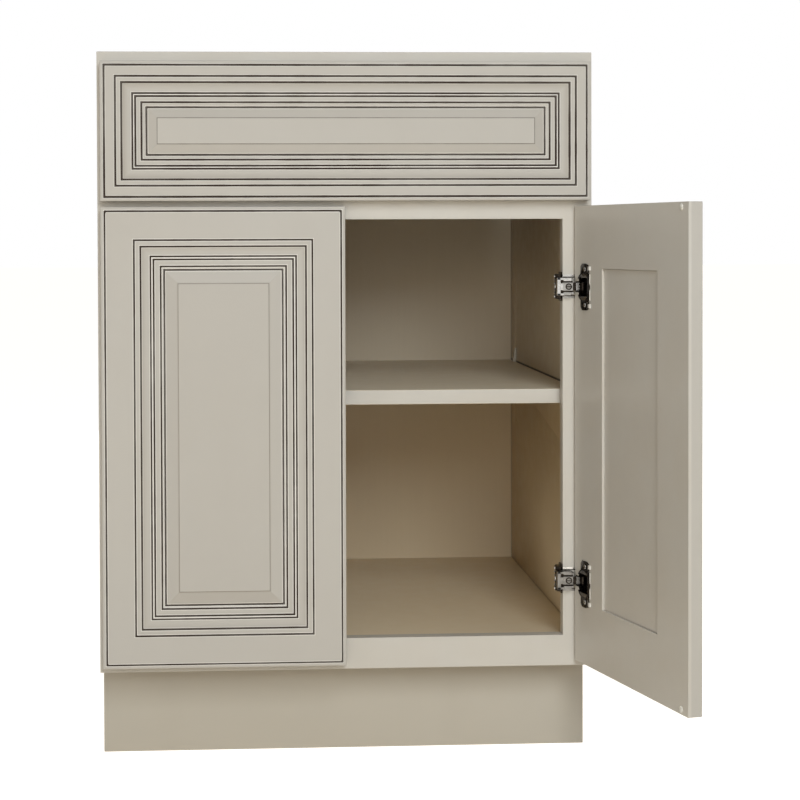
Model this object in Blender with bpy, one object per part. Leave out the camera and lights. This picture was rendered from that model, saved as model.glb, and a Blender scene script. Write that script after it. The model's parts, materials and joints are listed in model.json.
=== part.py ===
"""Face-frame kitchen base cabinet: one drawer over two mitred raised-panel doors, the right one open.

Metres, +Z up, the front faces -Y. The origin is on the floor, at the middle of the toe-kick board's
lower edge.
"""

import math

import bmesh
import bpy
from mathutils import Matrix

# Gap between pieces that touch, and how far a cutting shape passes the surface that it cuts
FIT = 0.0003
OVERCUT = 0.005

# Carcass
WIDTH = 0.6096
HEIGHT = 0.8763
DEPTH = 0.6096
SIDE_PANEL = 0.0127
BOTTOM_PANEL = 0.0127
BACK_PANEL = 0.00635
DADO = 0.006
HANG_RAIL_THICK = 0.01905
HANG_RAIL_HEIGHT = 0.0762
TOE_HEIGHT = 0.1143
TOE_RECESS = 0.0603
TOE_BOARD = 0.0127

# Face frame
FRAME_THICK = 0.01905
STILE = 0.0362
TOP_RAIL = 0.0381
MIDDLE_RAIL = 0.0381
BOTTOM_RAIL = 0.0381
FLOOR_LIP = 0.0032

# Shelf on clips in two rows of holes in each side panel
SHELF_THICK = 0.018
SHELF_SETBACK = 0.005
SHELF_BACK_GAP = 0.002
SHELF_END_GAP = 0.0022
PIN_HOLE_RADIUS = 0.0027
PIN_HOLE_DEPTH = 0.0095
PIN_HOLE_LOWEST = 0.3692
PIN_HOLE_PITCH = 0.064
PIN_HOLE_COUNT = 4
PIN_HOLE_FRONT = 0.056
PIN_HOLE_BACK = 0.048
SHELF_HOLE = 1
CLIP_WIDTH = 0.010
CLIP_DROP = 0.0064
CLIP_LEDGE = 0.012
CLIP_LEDGE_THICK = 0.002
CLIP_TAIL = 0.006
CLIP_TOOTH = 0.0055
CLIP_TOOTH_HEIGHT = 0.020

# Doors and drawer front
FRONT_THICK = 0.01905
FRONT_GAP = 0.002
TOP_REVEAL = 0.0127
DRAWER_FRONT_HEIGHT = 0.1705
FRONT_SPACING = 0.0068
BOTTOM_REVEAL = 0.0083
SIDE_REVEAL = 0.0049
CENTRE_GAP = 0.0052

# Moulding of the fronts: widths from the outer edge inwards, and depths below the face
LIP_WIDTH = 0.0051
LIP_DEPTH = 0.0016
LIP_ROUND = 0.002
DOOR_FLAT = 0.0352
DOOR_BEAD = 0.0078
DOOR_COVE = 0.0120
DOOR_QUIRK = 0.0037
DOOR_FILLET = 0.0085
DOOR_SLOPE = 0.0042
DOOR_BEVEL = 0.0170
DRAWER_FLAT = 0.0135
DRAWER_BEAD = 0.0075
DRAWER_COVE = 0.0131
DRAWER_QUIRK = 0.0036
DRAWER_FILLET = 0.0074
DRAWER_SLOPE = 0.0060
DRAWER_BEVEL = 0.0131
BEAD_DEPTH = 0.0010
COVE_TOP_DEPTH = 0.0018
COVE_FOOT_DEPTH = 0.0040
COVE_HOLLOW = 0.0005
QUIRK_RISE = 0.0005
FILLET_DEPTH = 0.0048
SLOPE_TOP_DEPTH = 0.0056
SLOPE_FOOT_DEPTH = 0.0070
FIELD_DEPTH = 0.0019
FIELD_STEP = 0.0007
PANEL_RECESS = 0.0030
PANEL_SLACK = 0.0004
TONGUE_FRONT = 0.0085
TONGUE_THICK = 0.0050
TONGUE_LENGTH = 0.0085
TONGUE_ROOM = 0.0010

# Door bumpers
BUMPER_RADIUS = 0.004
BUMPER_TAPER = 0.001
BUMPER_FROM_EDGE = 0.016
BUMPER_FROM_END = 0.006

# Hinges: a cup in the door, an arm on the stile and a pin through both
OPEN_ANGLE = math.radians(104)
HINGE_INSET = 0.0995
PIVOT_INSET = 0.0078
PIVOT_DEPTH = 0.0085
CUP_RADIUS = 0.0175
CUP_DEPTH = 0.0118
CUP_EDGE = 0.0113
CUP_WALL = 0.001
CUP_FLOOR = 0.0008
FLANGE_RIM = 0.0005
FLANGE_THICK = 0.0012
EAR_WIDTH = 0.018
EAR_REACH = 0.0285
EAR_CORNER = 0.004
EAR_OFFSET = 0.002
CHANNEL_ROOM = 0.0032
ARM_HEIGHT = 0.0216
ARM_BOX_LEFT = 0.0114
ARM_BOX_RIGHT = 0.0096
ARM_TIP = 0.003
ARM_TIP_HEIGHT = 0.0186
ARM_PLAY = 0.0005
NECK_HEIGHT = 0.010
KNUCKLE_WALL = 0.0009
HINGE_PIN_RADIUS = 0.0012
FRAME_BLOCK = 0.007
FRAME_BLOCK_DEPTH = 0.0165
FRAME_BLOCK_HEIGHT = 0.019
FRAME_LUG_HEIGHT = 0.031
FRAME_PLATE = 0.002
FRAME_PLATE_HEIGHT = 0.036
FRAME_PLATE_MARGIN = 0.001

# Drawer box on full-extension slides
DRAWER_SIDE = 0.0127
DRAWER_BOARD_HEIGHT = 0.1016
DRAWER_DEPTH = 0.508
DRAWER_LIFT = 0.0125
DRAWER_BOTTOM_THICK = 0.00635
DRAWER_BOTTOM_LIFT = 0.010
DRAWER_GROOVE = 0.006
SLIDE_WIDTH = 0.0127
SLIDE_HEIGHT = 0.045
SLIDE_LENGTH = 0.490
SLIDE_GAUGE = 0.0012
SLIDE_CABINET_GAUGE = 0.0015
SLIDE_LIP_GAP = 0.001
SLIDE_TAB = 0.018

# Fineness of round pieces
CUP_SIDES = 32
PIN_SIDES = 16
HOLE_SIDES = 12
SHARP_ANGLE = math.radians(35)

# Places worked out from the sizes above
SIDES = (("left", -1), ("right", 1))
HALF = WIDTH / 2
SIDE_FACE = HALF - SIDE_PANEL
OPENING = HALF - STILE
FRONT_EDGE = HALF - SIDE_REVEAL
DOOR_WIDTH = FRONT_EDGE - CENTRE_GAP / 2

FRAME_FRONT = -(TOE_RECESS + TOE_BOARD / 2)
FRAME_BACK = FRAME_FRONT + FRAME_THICK
BACK_EDGE = FRAME_FRONT + DEPTH
BACK_REAR = BACK_EDGE - HANG_RAIL_THICK - FIT
BACK_FRONT = BACK_REAR - BACK_PANEL
FRONTS_BACK = FRAME_FRONT - FRONT_GAP
FRONTS_FACE = FRONTS_BACK - FRONT_THICK

DRAWER_TOP = HEIGHT - TOP_REVEAL
DRAWER_BOTTOM = DRAWER_TOP - DRAWER_FRONT_HEIGHT
DOOR_TOP = DRAWER_BOTTOM - FRONT_SPACING
DOOR_BOTTOM = TOE_HEIGHT + BOTTOM_REVEAL
DOOR_HEIGHT = DOOR_TOP - DOOR_BOTTOM
MIDDLE_RAIL_TOP = (DRAWER_BOTTOM + DOOR_TOP + MIDDLE_RAIL) / 2
FLOOR_TOP = TOE_HEIGHT + BOTTOM_RAIL - FLOOR_LIP
FLOOR_UNDER = FLOOR_TOP - BOTTOM_PANEL

SHELF_PIN_Z = PIN_HOLE_LOWEST + SHELF_HOLE * PIN_HOLE_PITCH
SHELF_BOTTOM = SHELF_PIN_Z + CLIP_DROP
SHELF_TOP = SHELF_BOTTOM + SHELF_THICK
PIN_ROWS = (("front", FRAME_BACK + PIN_HOLE_FRONT), ("back", BACK_FRONT - PIN_HOLE_BACK))

PIVOT_X = FRONT_EDGE - PIVOT_INSET
PIVOT_Y = FRONTS_BACK - PIVOT_DEPTH
CUP_X = FRONT_EDGE - CUP_EDGE - CUP_RADIUS
SWING_RADIUS = FRONT_GAP + PIVOT_DEPTH - FIT
EASE_WIDTH = PIVOT_INSET - math.sqrt(SWING_RADIUS**2 - PIVOT_DEPTH**2)
EASE_DEPTH = PIVOT_DEPTH - math.sqrt(SWING_RADIUS**2 - PIVOT_INSET**2)
CHANNEL_HALF = NECK_HEIGHT / 2 + ARM_PLAY + CUP_WALL
CHANNEL_END = PIVOT_X - CUP_X + CHANNEL_ROOM + CUP_WALL
CUP_CAVITY = CUP_RADIUS - CUP_WALL
HINGE_HEIGHTS = (("upper", DOOR_TOP - HINGE_INSET), ("lower", DOOR_BOTTOM + HINGE_INSET))

DRAWER_HALF = OPENING - SLIDE_WIDTH
DRAWER_FRONT_Y = FRONTS_BACK + FIT
DRAWER_BACK_Y = DRAWER_FRONT_Y + DRAWER_DEPTH
DRAWER_LOW = MIDDLE_RAIL_TOP + DRAWER_LIFT
DRAWER_HIGH = DRAWER_LOW + DRAWER_BOARD_HEIGHT
SLIDE_Z = (DRAWER_LOW + DRAWER_HIGH) / 2
SLIDE_START = FRAME_BACK + FIT


def clear_scene():
    for obj in list(bpy.data.objects):
        bpy.data.objects.remove(obj, do_unlink=True)


def principled(name, colour, roughness, metallic=0.0, transmission=0.0):
    finish = bpy.data.materials.new(name)
    finish.use_nodes = True
    shader = finish.node_tree.nodes["Principled BSDF"]
    shader.inputs["Base Color"].default_value = (*colour, 1.0)
    shader.inputs["Roughness"].default_value = roughness
    shader.inputs["Metallic"].default_value = metallic
    shader.inputs["Transmission Weight"].default_value = transmission
    finish.diffuse_color = (*colour, 1.0)
    return finish


def empty(name, location, parent=None, turn=0.0):
    """A guide that carries pieces, turned about Z."""
    guide = bpy.data.objects.new(name, None)
    guide.location = location
    guide.rotation_euler.z = turn
    guide.parent = parent
    bpy.context.scene.collection.objects.link(guide)
    return guide


def mesh_of(name, shape):
    """The mesh of a bmesh, which is used up."""
    bmesh.ops.recalc_face_normals(shape, faces=shape.faces)
    mesh = bpy.data.meshes.new(name)
    shape.to_mesh(mesh)
    shape.free()
    return mesh


def piece(name, mesh, finish, parent, location=(0.0, 0.0, 0.0), turn_y=0.0, smooth=False):
    """One sub-part, placed in its parent and turned about Y."""
    obj = bpy.data.objects.new(name, mesh)
    obj.location = location
    obj.rotation_euler.y = turn_y
    obj.parent = parent
    if not mesh.materials:
        mesh.materials.append(finish)
    if smooth:
        mesh.shade_smooth()
        mesh.set_sharp_from_angle(angle=SHARP_ANGLE)
    bpy.context.scene.collection.objects.link(obj)
    return obj


def block(low, high):
    """A box between two opposite corners, given in either order."""
    shape = bmesh.new()
    bmesh.ops.create_cube(shape, size=1.0)
    spans = [abs(b - a) for a, b in zip(low, high)]
    middle = [(a + b) / 2 for a, b in zip(low, high)]
    bmesh.ops.transform(shape, matrix=Matrix.Diagonal((*spans, 1.0)), verts=shape.verts)
    bmesh.ops.translate(shape, vec=middle, verts=shape.verts)
    return shape


def rod(radius, sides, axis, middle, start, end, end_radius=None):
    """A cylinder or cone along X, Y or Z from start to end. The middle gives its other two coordinates."""
    shape = bmesh.new()
    far_radius = radius if end_radius is None else end_radius
    bmesh.ops.create_cone(
        shape, cap_ends=True, segments=sides, radius1=radius, radius2=far_radius, depth=end - start
    )
    turns = {
        "X": Matrix.Rotation(math.pi / 2, 4, "Y"),
        "Y": Matrix.Rotation(-math.pi / 2, 4, "X"),
        "Z": Matrix.Identity(4),
    }
    place = list(middle)
    place.insert("XYZ".index(axis), (start + end) / 2)
    bmesh.ops.transform(shape, matrix=Matrix.Translation(place) @ turns[axis], verts=shape.verts)
    return shape


def prism(outline, axis, start, end):
    """An outline drawn out along X, Y or Z. Its points give the other two coordinates."""
    shape = bmesh.new()
    at = "XYZ".index(axis)
    corners = [list(point) for point in outline]
    for corner in corners:
        corner.insert(at, start)
    face = shape.faces.new([shape.verts.new(corner) for corner in corners])
    grown = bmesh.ops.extrude_face_region(shape, geom=[face])["geom"]
    tips = [item for item in grown if isinstance(item, bmesh.types.BMVert)]
    reach = [0.0, 0.0]
    reach.insert(at, end - start)
    bmesh.ops.translate(shape, vec=reach, verts=tips)
    return shape


def mirrored(shape, side):
    """The shape itself on the right, and its mirror image on the left."""
    if side < 0:
        bmesh.ops.transform(shape, matrix=Matrix.Diagonal((-1.0, 1.0, 1.0, 1.0)), verts=shape.verts)
    return shape


def carve(name, base, steps):
    """The mesh left after each step's shape is cut from the base, or joined to it."""
    body = bpy.data.objects.new(name, mesh_of(name, base))
    helpers = [body]
    for operation, shape in steps:
        tool = bpy.data.objects.new(f"{name}_tool", mesh_of(f"{name}_tool", shape))
        modifier = body.modifiers.new(operation, "BOOLEAN")
        modifier.operation = operation
        modifier.object = tool
        helpers.append(tool)
    for helper in helpers:
        bpy.context.scene.collection.objects.link(helper)
    bpy.context.view_layer.update()
    mesh = bpy.data.meshes.new_from_object(body.evaluated_get(bpy.context.evaluated_depsgraph_get()))
    for helper in helpers:
        bpy.data.objects.remove(helper, do_unlink=True)
    return mesh


def add_side_panel(word, side, finish, parent):
    """A plywood side with the toe notch, the grooves for bottom and back, and two rows of shelf-pin holes."""
    panel = block((side * SIDE_FACE, FRAME_BACK + FIT, 0.0), (side * HALF, BACK_EDGE, HEIGHT))
    dado_face = side * (SIDE_FACE + DADO)
    past_face = side * (SIDE_FACE - OVERCUT)
    notch = block(
        (past_face, FRAME_BACK - OVERCUT, -OVERCUT),
        (side * (HALF + OVERCUT), TOE_BOARD / 2 + FIT, TOE_HEIGHT),
    )
    bottom_dado = block(
        (past_face, FRAME_BACK - OVERCUT, FLOOR_UNDER - FIT),
        (dado_face, BACK_FRONT, FLOOR_TOP + FIT),
    )
    back_groove = block(
        (past_face, BACK_FRONT - FIT, FLOOR_UNDER - FIT),
        (dado_face, BACK_REAR + FIT, HEIGHT + OVERCUT),
    )
    steps = [("DIFFERENCE", notch), ("DIFFERENCE", bottom_dado), ("DIFFERENCE", back_groove)]
    ends = sorted((past_face, side * (SIDE_FACE + PIN_HOLE_DEPTH)))
    for _, y in PIN_ROWS:
        for step in range(PIN_HOLE_COUNT):
            middle = (y, PIN_HOLE_LOWEST + step * PIN_HOLE_PITCH)
            steps.append(("DIFFERENCE", rod(PIN_HOLE_RADIUS, HOLE_SIDES, "X", middle, *ends)))
    name = f"side_panel_{word}"
    piece(name, carve(name, panel, steps), finish, parent)


def add_board(name, low, high, finish, parent):
    piece(name, mesh_of(name, block(low, high)), finish, parent)


def add_carcass(paint, ply, parent):
    for word, side in SIDES:
        add_side_panel(word, side, paint, parent)
    seat = SIDE_FACE + DADO - FIT
    between = SIDE_FACE - FIT
    add_board(
        "bottom_panel",
        (-seat, FRAME_BACK + FIT, FLOOR_UNDER),
        (seat, BACK_FRONT - FIT, FLOOR_TOP),
        paint,
        parent,
    )
    add_board("back_panel", (-seat, BACK_FRONT, FLOOR_UNDER), (seat, BACK_REAR, HEIGHT), paint, parent)
    rails = (("top", HEIGHT - HANG_RAIL_HEIGHT), ("bottom", FLOOR_UNDER))
    for word, low in rails:
        add_board(
            f"hang_rail_{word}",
            (-between, BACK_REAR + FIT, low),
            (between, BACK_EDGE, low + HANG_RAIL_HEIGHT),
            ply,
            parent,
        )
    add_board(
        "toe_kick_board",
        (-HALF, -TOE_BOARD / 2, 0.0),
        (HALF, TOE_BOARD / 2, TOE_HEIGHT - FIT),
        paint,
        parent,
    )


def add_face_frame(paint, parent):
    for word, side in SIDES:
        add_board(
            f"face_frame_{word}_stile",
            (side * OPENING, FRAME_FRONT, TOE_HEIGHT),
            (side * HALF, FRAME_BACK, HEIGHT),
            paint,
            parent,
        )
    rails = (
        ("top", HEIGHT - TOP_RAIL, HEIGHT),
        ("middle", MIDDLE_RAIL_TOP - MIDDLE_RAIL, MIDDLE_RAIL_TOP),
        ("bottom", TOE_HEIGHT, TOE_HEIGHT + BOTTOM_RAIL),
    )
    for word, low, high in rails:
        add_board(
            f"face_frame_{word}_rail",
            (-(OPENING - FIT), FRAME_FRONT, low),
            (OPENING - FIT, FRAME_BACK, high),
            paint,
            parent,
        )


def shelf_clip(name, side):
    """A clip with a pin in its hole, a ledge under the shelf and a tooth over it, from the panel's face."""
    plate = SHELF_END_GAP - FIT
    bottom = SHELF_BOTTOM - SHELF_PIN_Z - FIT
    top = SHELF_TOP - SHELF_PIN_Z + FIT
    outline = (
        (-FIT, -CLIP_TAIL),
        (-FIT, top + CLIP_TOOTH_HEIGHT),
        (-plate, top + CLIP_TOOTH_HEIGHT),
        (-CLIP_TOOTH, top + CLIP_LEDGE_THICK / 2),
        (-CLIP_TOOTH, top),
        (-plate, top),
        (-plate, bottom),
        (-CLIP_LEDGE, bottom),
        (-CLIP_LEDGE, bottom - CLIP_LEDGE_THICK),
        (-plate - CLIP_LEDGE_THICK, -CLIP_TAIL),
    )
    body = mirrored(prism(outline, "Y", -CLIP_WIDTH / 2, CLIP_WIDTH / 2), side)
    ends = sorted((-side * plate / 2, side * (PIN_HOLE_DEPTH - FIT)))
    pin = rod(PIN_HOLE_RADIUS - FIT, HOLE_SIDES, "X", (0.0, 0.0), *ends)
    return carve(name, body, [("UNION", pin)])


def add_shelf(paint, clear, parent):
    reach = SIDE_FACE - SHELF_END_GAP
    add_board(
        "shelf",
        (-reach, FRAME_BACK + SHELF_SETBACK, SHELF_BOTTOM),
        (reach, BACK_FRONT - SHELF_BACK_GAP, SHELF_TOP),
        paint,
        parent,
    )
    for word, side in SIDES:
        mesh = shelf_clip(f"shelf_clip_{word}", side)
        for row, y in PIN_ROWS:
            piece(f"shelf_clip_{row}_{word}", mesh, clear, parent, (side * SIDE_FACE, y, SHELF_PIN_Z))


def moulding_widths(front):
    """Widths from the lip inwards: flat, bead, cove, quirk, fillet, slope and panel bevel."""
    if front == "door":
        return (DOOR_FLAT, DOOR_BEAD, DOOR_COVE, DOOR_QUIRK, DOOR_FILLET, DOOR_SLOPE, DOOR_BEVEL)
    return (
        DRAWER_FLAT,
        DRAWER_BEAD,
        DRAWER_COVE,
        DRAWER_QUIRK,
        DRAWER_FILLET,
        DRAWER_SLOPE,
        DRAWER_BEVEL,
    )


def member_profile(front, eased):
    """The closed section of a frame member: distance in from the outer edge, and depth below the face."""
    flat, bead, cove, quirk, fillet, slope, _ = moulding_widths(front)
    flat_end = LIP_WIDTH + flat
    bead_end = flat_end + bead
    cove_end = bead_end + cove
    quirk_end = cove_end + quirk
    fillet_end = quirk_end + fillet
    inner = fillet_end + slope
    shoulder = LIP_ROUND * (1 - math.sqrt(0.5))
    hollow = (COVE_TOP_DEPTH + COVE_FOOT_DEPTH) / 2 + COVE_HOLLOW
    groove = inner - TONGUE_LENGTH - TONGUE_ROOM
    square_edge = ((0.0, FRONT_THICK),)
    eased_edge = ((EASE_WIDTH, FRONT_THICK), (0.0, FRONT_THICK - EASE_DEPTH))
    return (
        *(eased_edge if eased else square_edge),
        (0.0, LIP_DEPTH + LIP_ROUND),
        (shoulder, LIP_DEPTH + shoulder),
        (LIP_ROUND, LIP_DEPTH),
        (LIP_WIDTH, LIP_DEPTH),
        (LIP_WIDTH, 0.0),
        (flat_end, 0.0),
        (flat_end, BEAD_DEPTH),
        (bead_end, BEAD_DEPTH),
        (bead_end, COVE_TOP_DEPTH),
        ((bead_end + cove_end) / 2, hollow),
        (cove_end, COVE_FOOT_DEPTH),
        ((cove_end + quirk_end) / 2, COVE_FOOT_DEPTH - QUIRK_RISE),
        (quirk_end, COVE_FOOT_DEPTH),
        (quirk_end, FILLET_DEPTH),
        (fillet_end, FILLET_DEPTH),
        (fillet_end, SLOPE_TOP_DEPTH),
        (inner, SLOPE_FOOT_DEPTH),
        (inner, TONGUE_FRONT - FIT),
        (groove, TONGUE_FRONT - FIT),
        (groove, TONGUE_FRONT + TONGUE_THICK + FIT),
        (inner, TONGUE_FRONT + TONGUE_THICK + FIT),
        (inner, FRONT_THICK),
    )


def mitred_member(front, length, eased=False):
    """A frame member along X with 45 degree ends, its outer edge at Z = 0 and its face at Y = 0."""
    shape = bmesh.new()
    shrink = FIT / math.sqrt(2)
    rings = []
    for end in (0, 1):
        ring = []
        for inset, depth in member_profile(front, eased):
            run = inset + shrink
            ring.append(shape.verts.new((length - run if end else run, depth, inset)))
        rings.append(ring)
        shape.faces.new(ring)
    count = len(rings[0])
    for at in range(count):
        after = (at + 1) % count
        shape.faces.new((rings[0][at], rings[0][after], rings[1][after], rings[1][at]))
    return shape


def raised_panel(front, width, height):
    """A panel with a bevelled field and a tongue all round, centred in X and Z. Y = 0 is the frame's face."""
    *frame, bevel = moulding_widths(front)
    inner = LIP_WIDTH + sum(frame)
    edge = inner + PANEL_SLACK
    tongue = inner - TONGUE_LENGTH
    back = FRONT_THICK - PANEL_RECESS
    rings = (
        (inner + bevel, FIELD_DEPTH),
        (inner + bevel, FIELD_DEPTH + FIELD_STEP),
        (edge, SLOPE_FOOT_DEPTH),
        (edge, TONGUE_FRONT),
        (tongue, TONGUE_FRONT),
        (tongue, TONGUE_FRONT + TONGUE_THICK),
        (edge, TONGUE_FRONT + TONGUE_THICK),
        (edge, back),
    )
    shape = bmesh.new()
    loops = []
    for inset, depth in rings:
        x = width / 2 - inset
        z = height / 2 - inset
        corners = ((-x, -z), (x, -z), (x, z), (-x, z))
        loops.append([shape.verts.new((a, depth, b)) for a, b in corners])
    for near, far in zip(loops, loops[1:]):
        for at in range(4):
            after = (at + 1) % 4
            shape.faces.new((near[at], near[after], far[after], far[at]))
    shape.faces.new(loops[0])
    shape.faces.new(loops[-1])
    return shape


def hinge_stile_mesh():
    """A door's hinge stile, eased at the back to clear the face frame, and bored for two hinge cups."""
    floor = FRONT_THICK - CUP_DEPTH - FIT
    above = FRONT_THICK + OVERCUT
    middle = CUP_EDGE + CUP_RADIUS
    half = CHANNEL_HALF + FIT
    steps = []
    for along in (HINGE_INSET, DOOR_HEIGHT - HINGE_INSET):
        slot = block((along - half, floor, middle - CHANNEL_END - FIT), (along + half, above, middle))
        bore = rod(CUP_RADIUS + FIT, CUP_SIDES, "Y", (along, middle), floor, above)
        steps += [("DIFFERENCE", bore), ("DIFFERENCE", slot)]
    return carve("hinge_stile", mitred_member("door", DOOR_HEIGHT, eased=True), steps)


def door_rail_mesh(hinge_end):
    """A door rail, eased at its hinge end as the hinge stile is."""
    slope = EASE_DEPTH / EASE_WIDTH
    high = FRONT_THICK + OVERCUT * slope
    corners = (
        (-OVERCUT, FRONT_THICK - EASE_DEPTH - OVERCUT * slope),
        (EASE_WIDTH + OVERCUT, high),
        (-OVERCUT, high),
    )
    outline = [(abs(hinge_end - x), y) if hinge_end else (x, y) for x, y in corners]
    ease = prism(outline, "Z", -OVERCUT, EASE_WIDTH + OVERCUT)
    return carve("door_rail", mitred_member("door", DOOR_WIDTH), [("DIFFERENCE", ease)])


def add_front(prefix, front, names, meshes, paint, parent, corner, width, height):
    """Four mitred members and a raised panel. The corner is the lower left of the face."""
    x, y, z = corner
    places = (
        ((x, y, z + height), math.pi / 2),
        ((x + width, y, z), -math.pi / 2),
        ((x + width, y, z + height), math.pi),
        ((x, y, z), 0.0),
    )
    for name, mesh, (location, turn_y) in zip(names, meshes, places):
        piece(f"{prefix}_{name}", mesh, paint, parent, location, turn_y)
    panel = mesh_of(f"{prefix}_panel", raised_panel(front, width, height))
    piece(f"{prefix}_panel", panel, paint, parent, (x + width / 2, y, z + height / 2))


def hinge_cup_mesh():
    """A flanged cup with a channel for the neck. X runs from its axis to the hinge edge, Y = 0 is the back."""
    flange = (FIT, FIT + FLANGE_THICK)
    above = FIT + FLANGE_THICK + OVERCUT
    body = rod(CUP_RADIUS, CUP_SIDES, "Y", (0.0, 0.0), -CUP_DEPTH, flange[1])
    rim = rod(CUP_RADIUS + FLANGE_RIM, CUP_SIDES, "Y", (0.0, 0.0), *flange)
    wide = EAR_WIDTH / 2
    corners = ((wide, EAR_REACH - EAR_CORNER), (wide - EAR_CORNER, EAR_REACH))
    outline = [(x - EAR_OFFSET, z) for x, z in corners]
    outline += [(-x - EAR_OFFSET, z) for x, z in reversed(corners)]
    outline += [(x, -z) for x, z in reversed(outline)]
    ears = prism(outline, "Y", *flange)
    channel = block((0.0, -CUP_DEPTH, -CHANNEL_HALF), (CHANNEL_END, 0.0, CHANNEL_HALF))
    floor = CUP_FLOOR - CUP_DEPTH
    neck_half = CHANNEL_HALF - CUP_WALL
    tip_half = ARM_TIP_HEIGHT / 2 + ARM_PLAY
    cavity = rod(CUP_CAVITY, CUP_SIDES, "Y", (0.0, 0.0), floor, above)
    neck_way = block((0.0, floor, -neck_half), (CHANNEL_END - CUP_WALL, above, neck_half))
    tip_way = block((0.0, 0.0, -tip_half), (CHANNEL_END + OVERCUT, above, tip_half))
    joined = [("UNION", shape) for shape in (rim, ears, channel)]
    cut = [("DIFFERENCE", shape) for shape in (cavity, neck_way, tip_way)]
    return carve("hinge_cup", body, joined + cut)


def hinge_arm_mesh():
    """An arm and its frame plate, from the pin's axis: X runs to the cabinet's side and Y to its back."""
    stile_y = FRONT_GAP + PIVOT_DEPTH
    stile_x = OPENING - PIVOT_X
    cup_x = CUP_X - PIVOT_X
    gauge = FRONT_GAP - 2 * FIT
    seat_y = stile_y - FIT
    half = ARM_HEIGHT / 2
    tip_half = ARM_TIP_HEIGHT / 2
    neck_half = NECK_HEIGHT / 2
    left = cup_x - ARM_BOX_LEFT
    right = cup_x + ARM_BOX_RIGHT
    knuckle = HINGE_PIN_RADIUS + FIT + KNUCKLE_WALL
    box = block((left, -gauge / 2, -half), (right - ARM_TIP, seat_y, half))
    tip = block((right - 2 * ARM_TIP, -gauge / 2, -tip_half), (right, seat_y, tip_half))
    hollow = block(
        (left + gauge, gauge / 2, gauge - tip_half),
        (right + OVERCUT, seat_y - gauge, tip_half - gauge),
    )
    neck = block((right - gauge / 2, -gauge / 2, -neck_half), (0.0, gauge / 2, neck_half))
    eye = rod(knuckle, PIN_SIDES, "Z", (0.0, 0.0), -neck_half, neck_half)
    bore = rod(HINGE_PIN_RADIUS + FIT, PIN_SIDES, "Z", (0.0, 0.0), -neck_half - OVERCUT, neck_half + OVERCUT)
    frame_block = block(
        (stile_x - FRAME_BLOCK, seat_y - gauge / 2, -FRAME_BLOCK_HEIGHT / 2),
        (stile_x - FIT, stile_y + FRAME_BLOCK_DEPTH, FRAME_BLOCK_HEIGHT / 2),
    )
    lugs = block(
        (stile_x - FRAME_BLOCK, stile_y + FRAME_PLATE_MARGIN, -FRAME_LUG_HEIGHT / 2),
        (stile_x - FIT, stile_y + FRAME_BLOCK_DEPTH, FRAME_LUG_HEIGHT / 2),
    )
    plate = block(
        (stile_x - FIT - FRAME_PLATE, stile_y + FRAME_PLATE_MARGIN, -FRAME_PLATE_HEIGHT / 2),
        (stile_x - FIT, stile_y + FRAME_THICK - FRAME_PLATE_MARGIN, FRAME_PLATE_HEIGHT / 2),
    )
    steps = [("UNION", tip), ("DIFFERENCE", hollow)]
    steps += [("UNION", shape) for shape in (frame_block, lugs, plate, neck, eye)]
    steps.append(("DIFFERENCE", bore))
    return carve("hinge_arm", box, steps)


def hinge_pin_mesh():
    """A pin whose ends stop just short of the channel's walls."""
    half = CHANNEL_HALF - CUP_WALL - FIT
    return mesh_of("hinge_pin", rod(HINGE_PIN_RADIUS, PIN_SIDES, "Z", (0.0, 0.0), -half, half))


def bumper_mesh():
    """A clear stud that stands on a door's back and stops just short of the face frame."""
    shape = rod(BUMPER_RADIUS, PIN_SIDES, "Y", (0.0, 0.0), FIT, FRONT_GAP - FIT, BUMPER_RADIUS - BUMPER_TAPER)
    return mesh_of("bumper", shape)


def add_doors(paint, steel, clear, carcass):
    stile = mesh_of("door_stile", mitred_member("door", DOOR_HEIGHT))
    near_rail = door_rail_mesh(hinge_end=0.0)
    far_rail = door_rail_mesh(hinge_end=DOOR_WIDTH)
    hinge_stile = hinge_stile_mesh()
    cup = hinge_cup_mesh()
    arm = hinge_arm_mesh()
    pin = hinge_pin_mesh()
    bumper = bumper_mesh()
    for word, side in SIDES:
        turn = OPEN_ANGLE if word == "right" else 0.0
        flip = 0.0 if side > 0 else math.pi
        axis = empty(f"{word}_door_axis", (side * PIVOT_X, PIVOT_Y, 0.0), turn=turn)
        edges = sorted((side * FRONT_EDGE, side * (FRONT_EDGE - DOOR_WIDTH)))
        corner = (edges[0] - side * PIVOT_X, FRONTS_FACE - PIVOT_Y, DOOR_BOTTOM)
        if word == "left":
            names = ("hinge_stile", "lock_stile", "top_rail", "bottom_rail")
            meshes = (hinge_stile, stile, far_rail, near_rail)
        else:
            names = ("lock_stile", "hinge_stile", "top_rail", "bottom_rail")
            meshes = (stile, hinge_stile, near_rail, far_rail)
        add_front(f"{word}_door", "door", names, meshes, paint, axis, corner, DOOR_WIDTH, DOOR_HEIGHT)
        for level, z in HINGE_HEIGHTS:
            seat = (side * (CUP_X - PIVOT_X), PIVOT_DEPTH, z)
            piece(f"{word}_door_{level}_hinge_cup", cup, steel, axis, seat, flip, smooth=True)
            piece(f"{word}_door_{level}_hinge_pin", pin, steel, axis, (0.0, 0.0, z), smooth=True)
            pivot = (side * PIVOT_X, PIVOT_Y, z)
            piece(f"{word}_door_{level}_hinge_arm", arm, steel, carcass, pivot, flip, smooth=True)
        free = FRONT_EDGE - DOOR_WIDTH + BUMPER_FROM_EDGE - PIVOT_X
        ends = (("upper", DOOR_TOP - BUMPER_FROM_END), ("lower", DOOR_BOTTOM + BUMPER_FROM_END))
        for level, z in ends:
            seat = (side * free, PIVOT_DEPTH, z)
            piece(f"{word}_door_{level}_bumper", bumper, clear, axis, seat, smooth=True)


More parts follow.
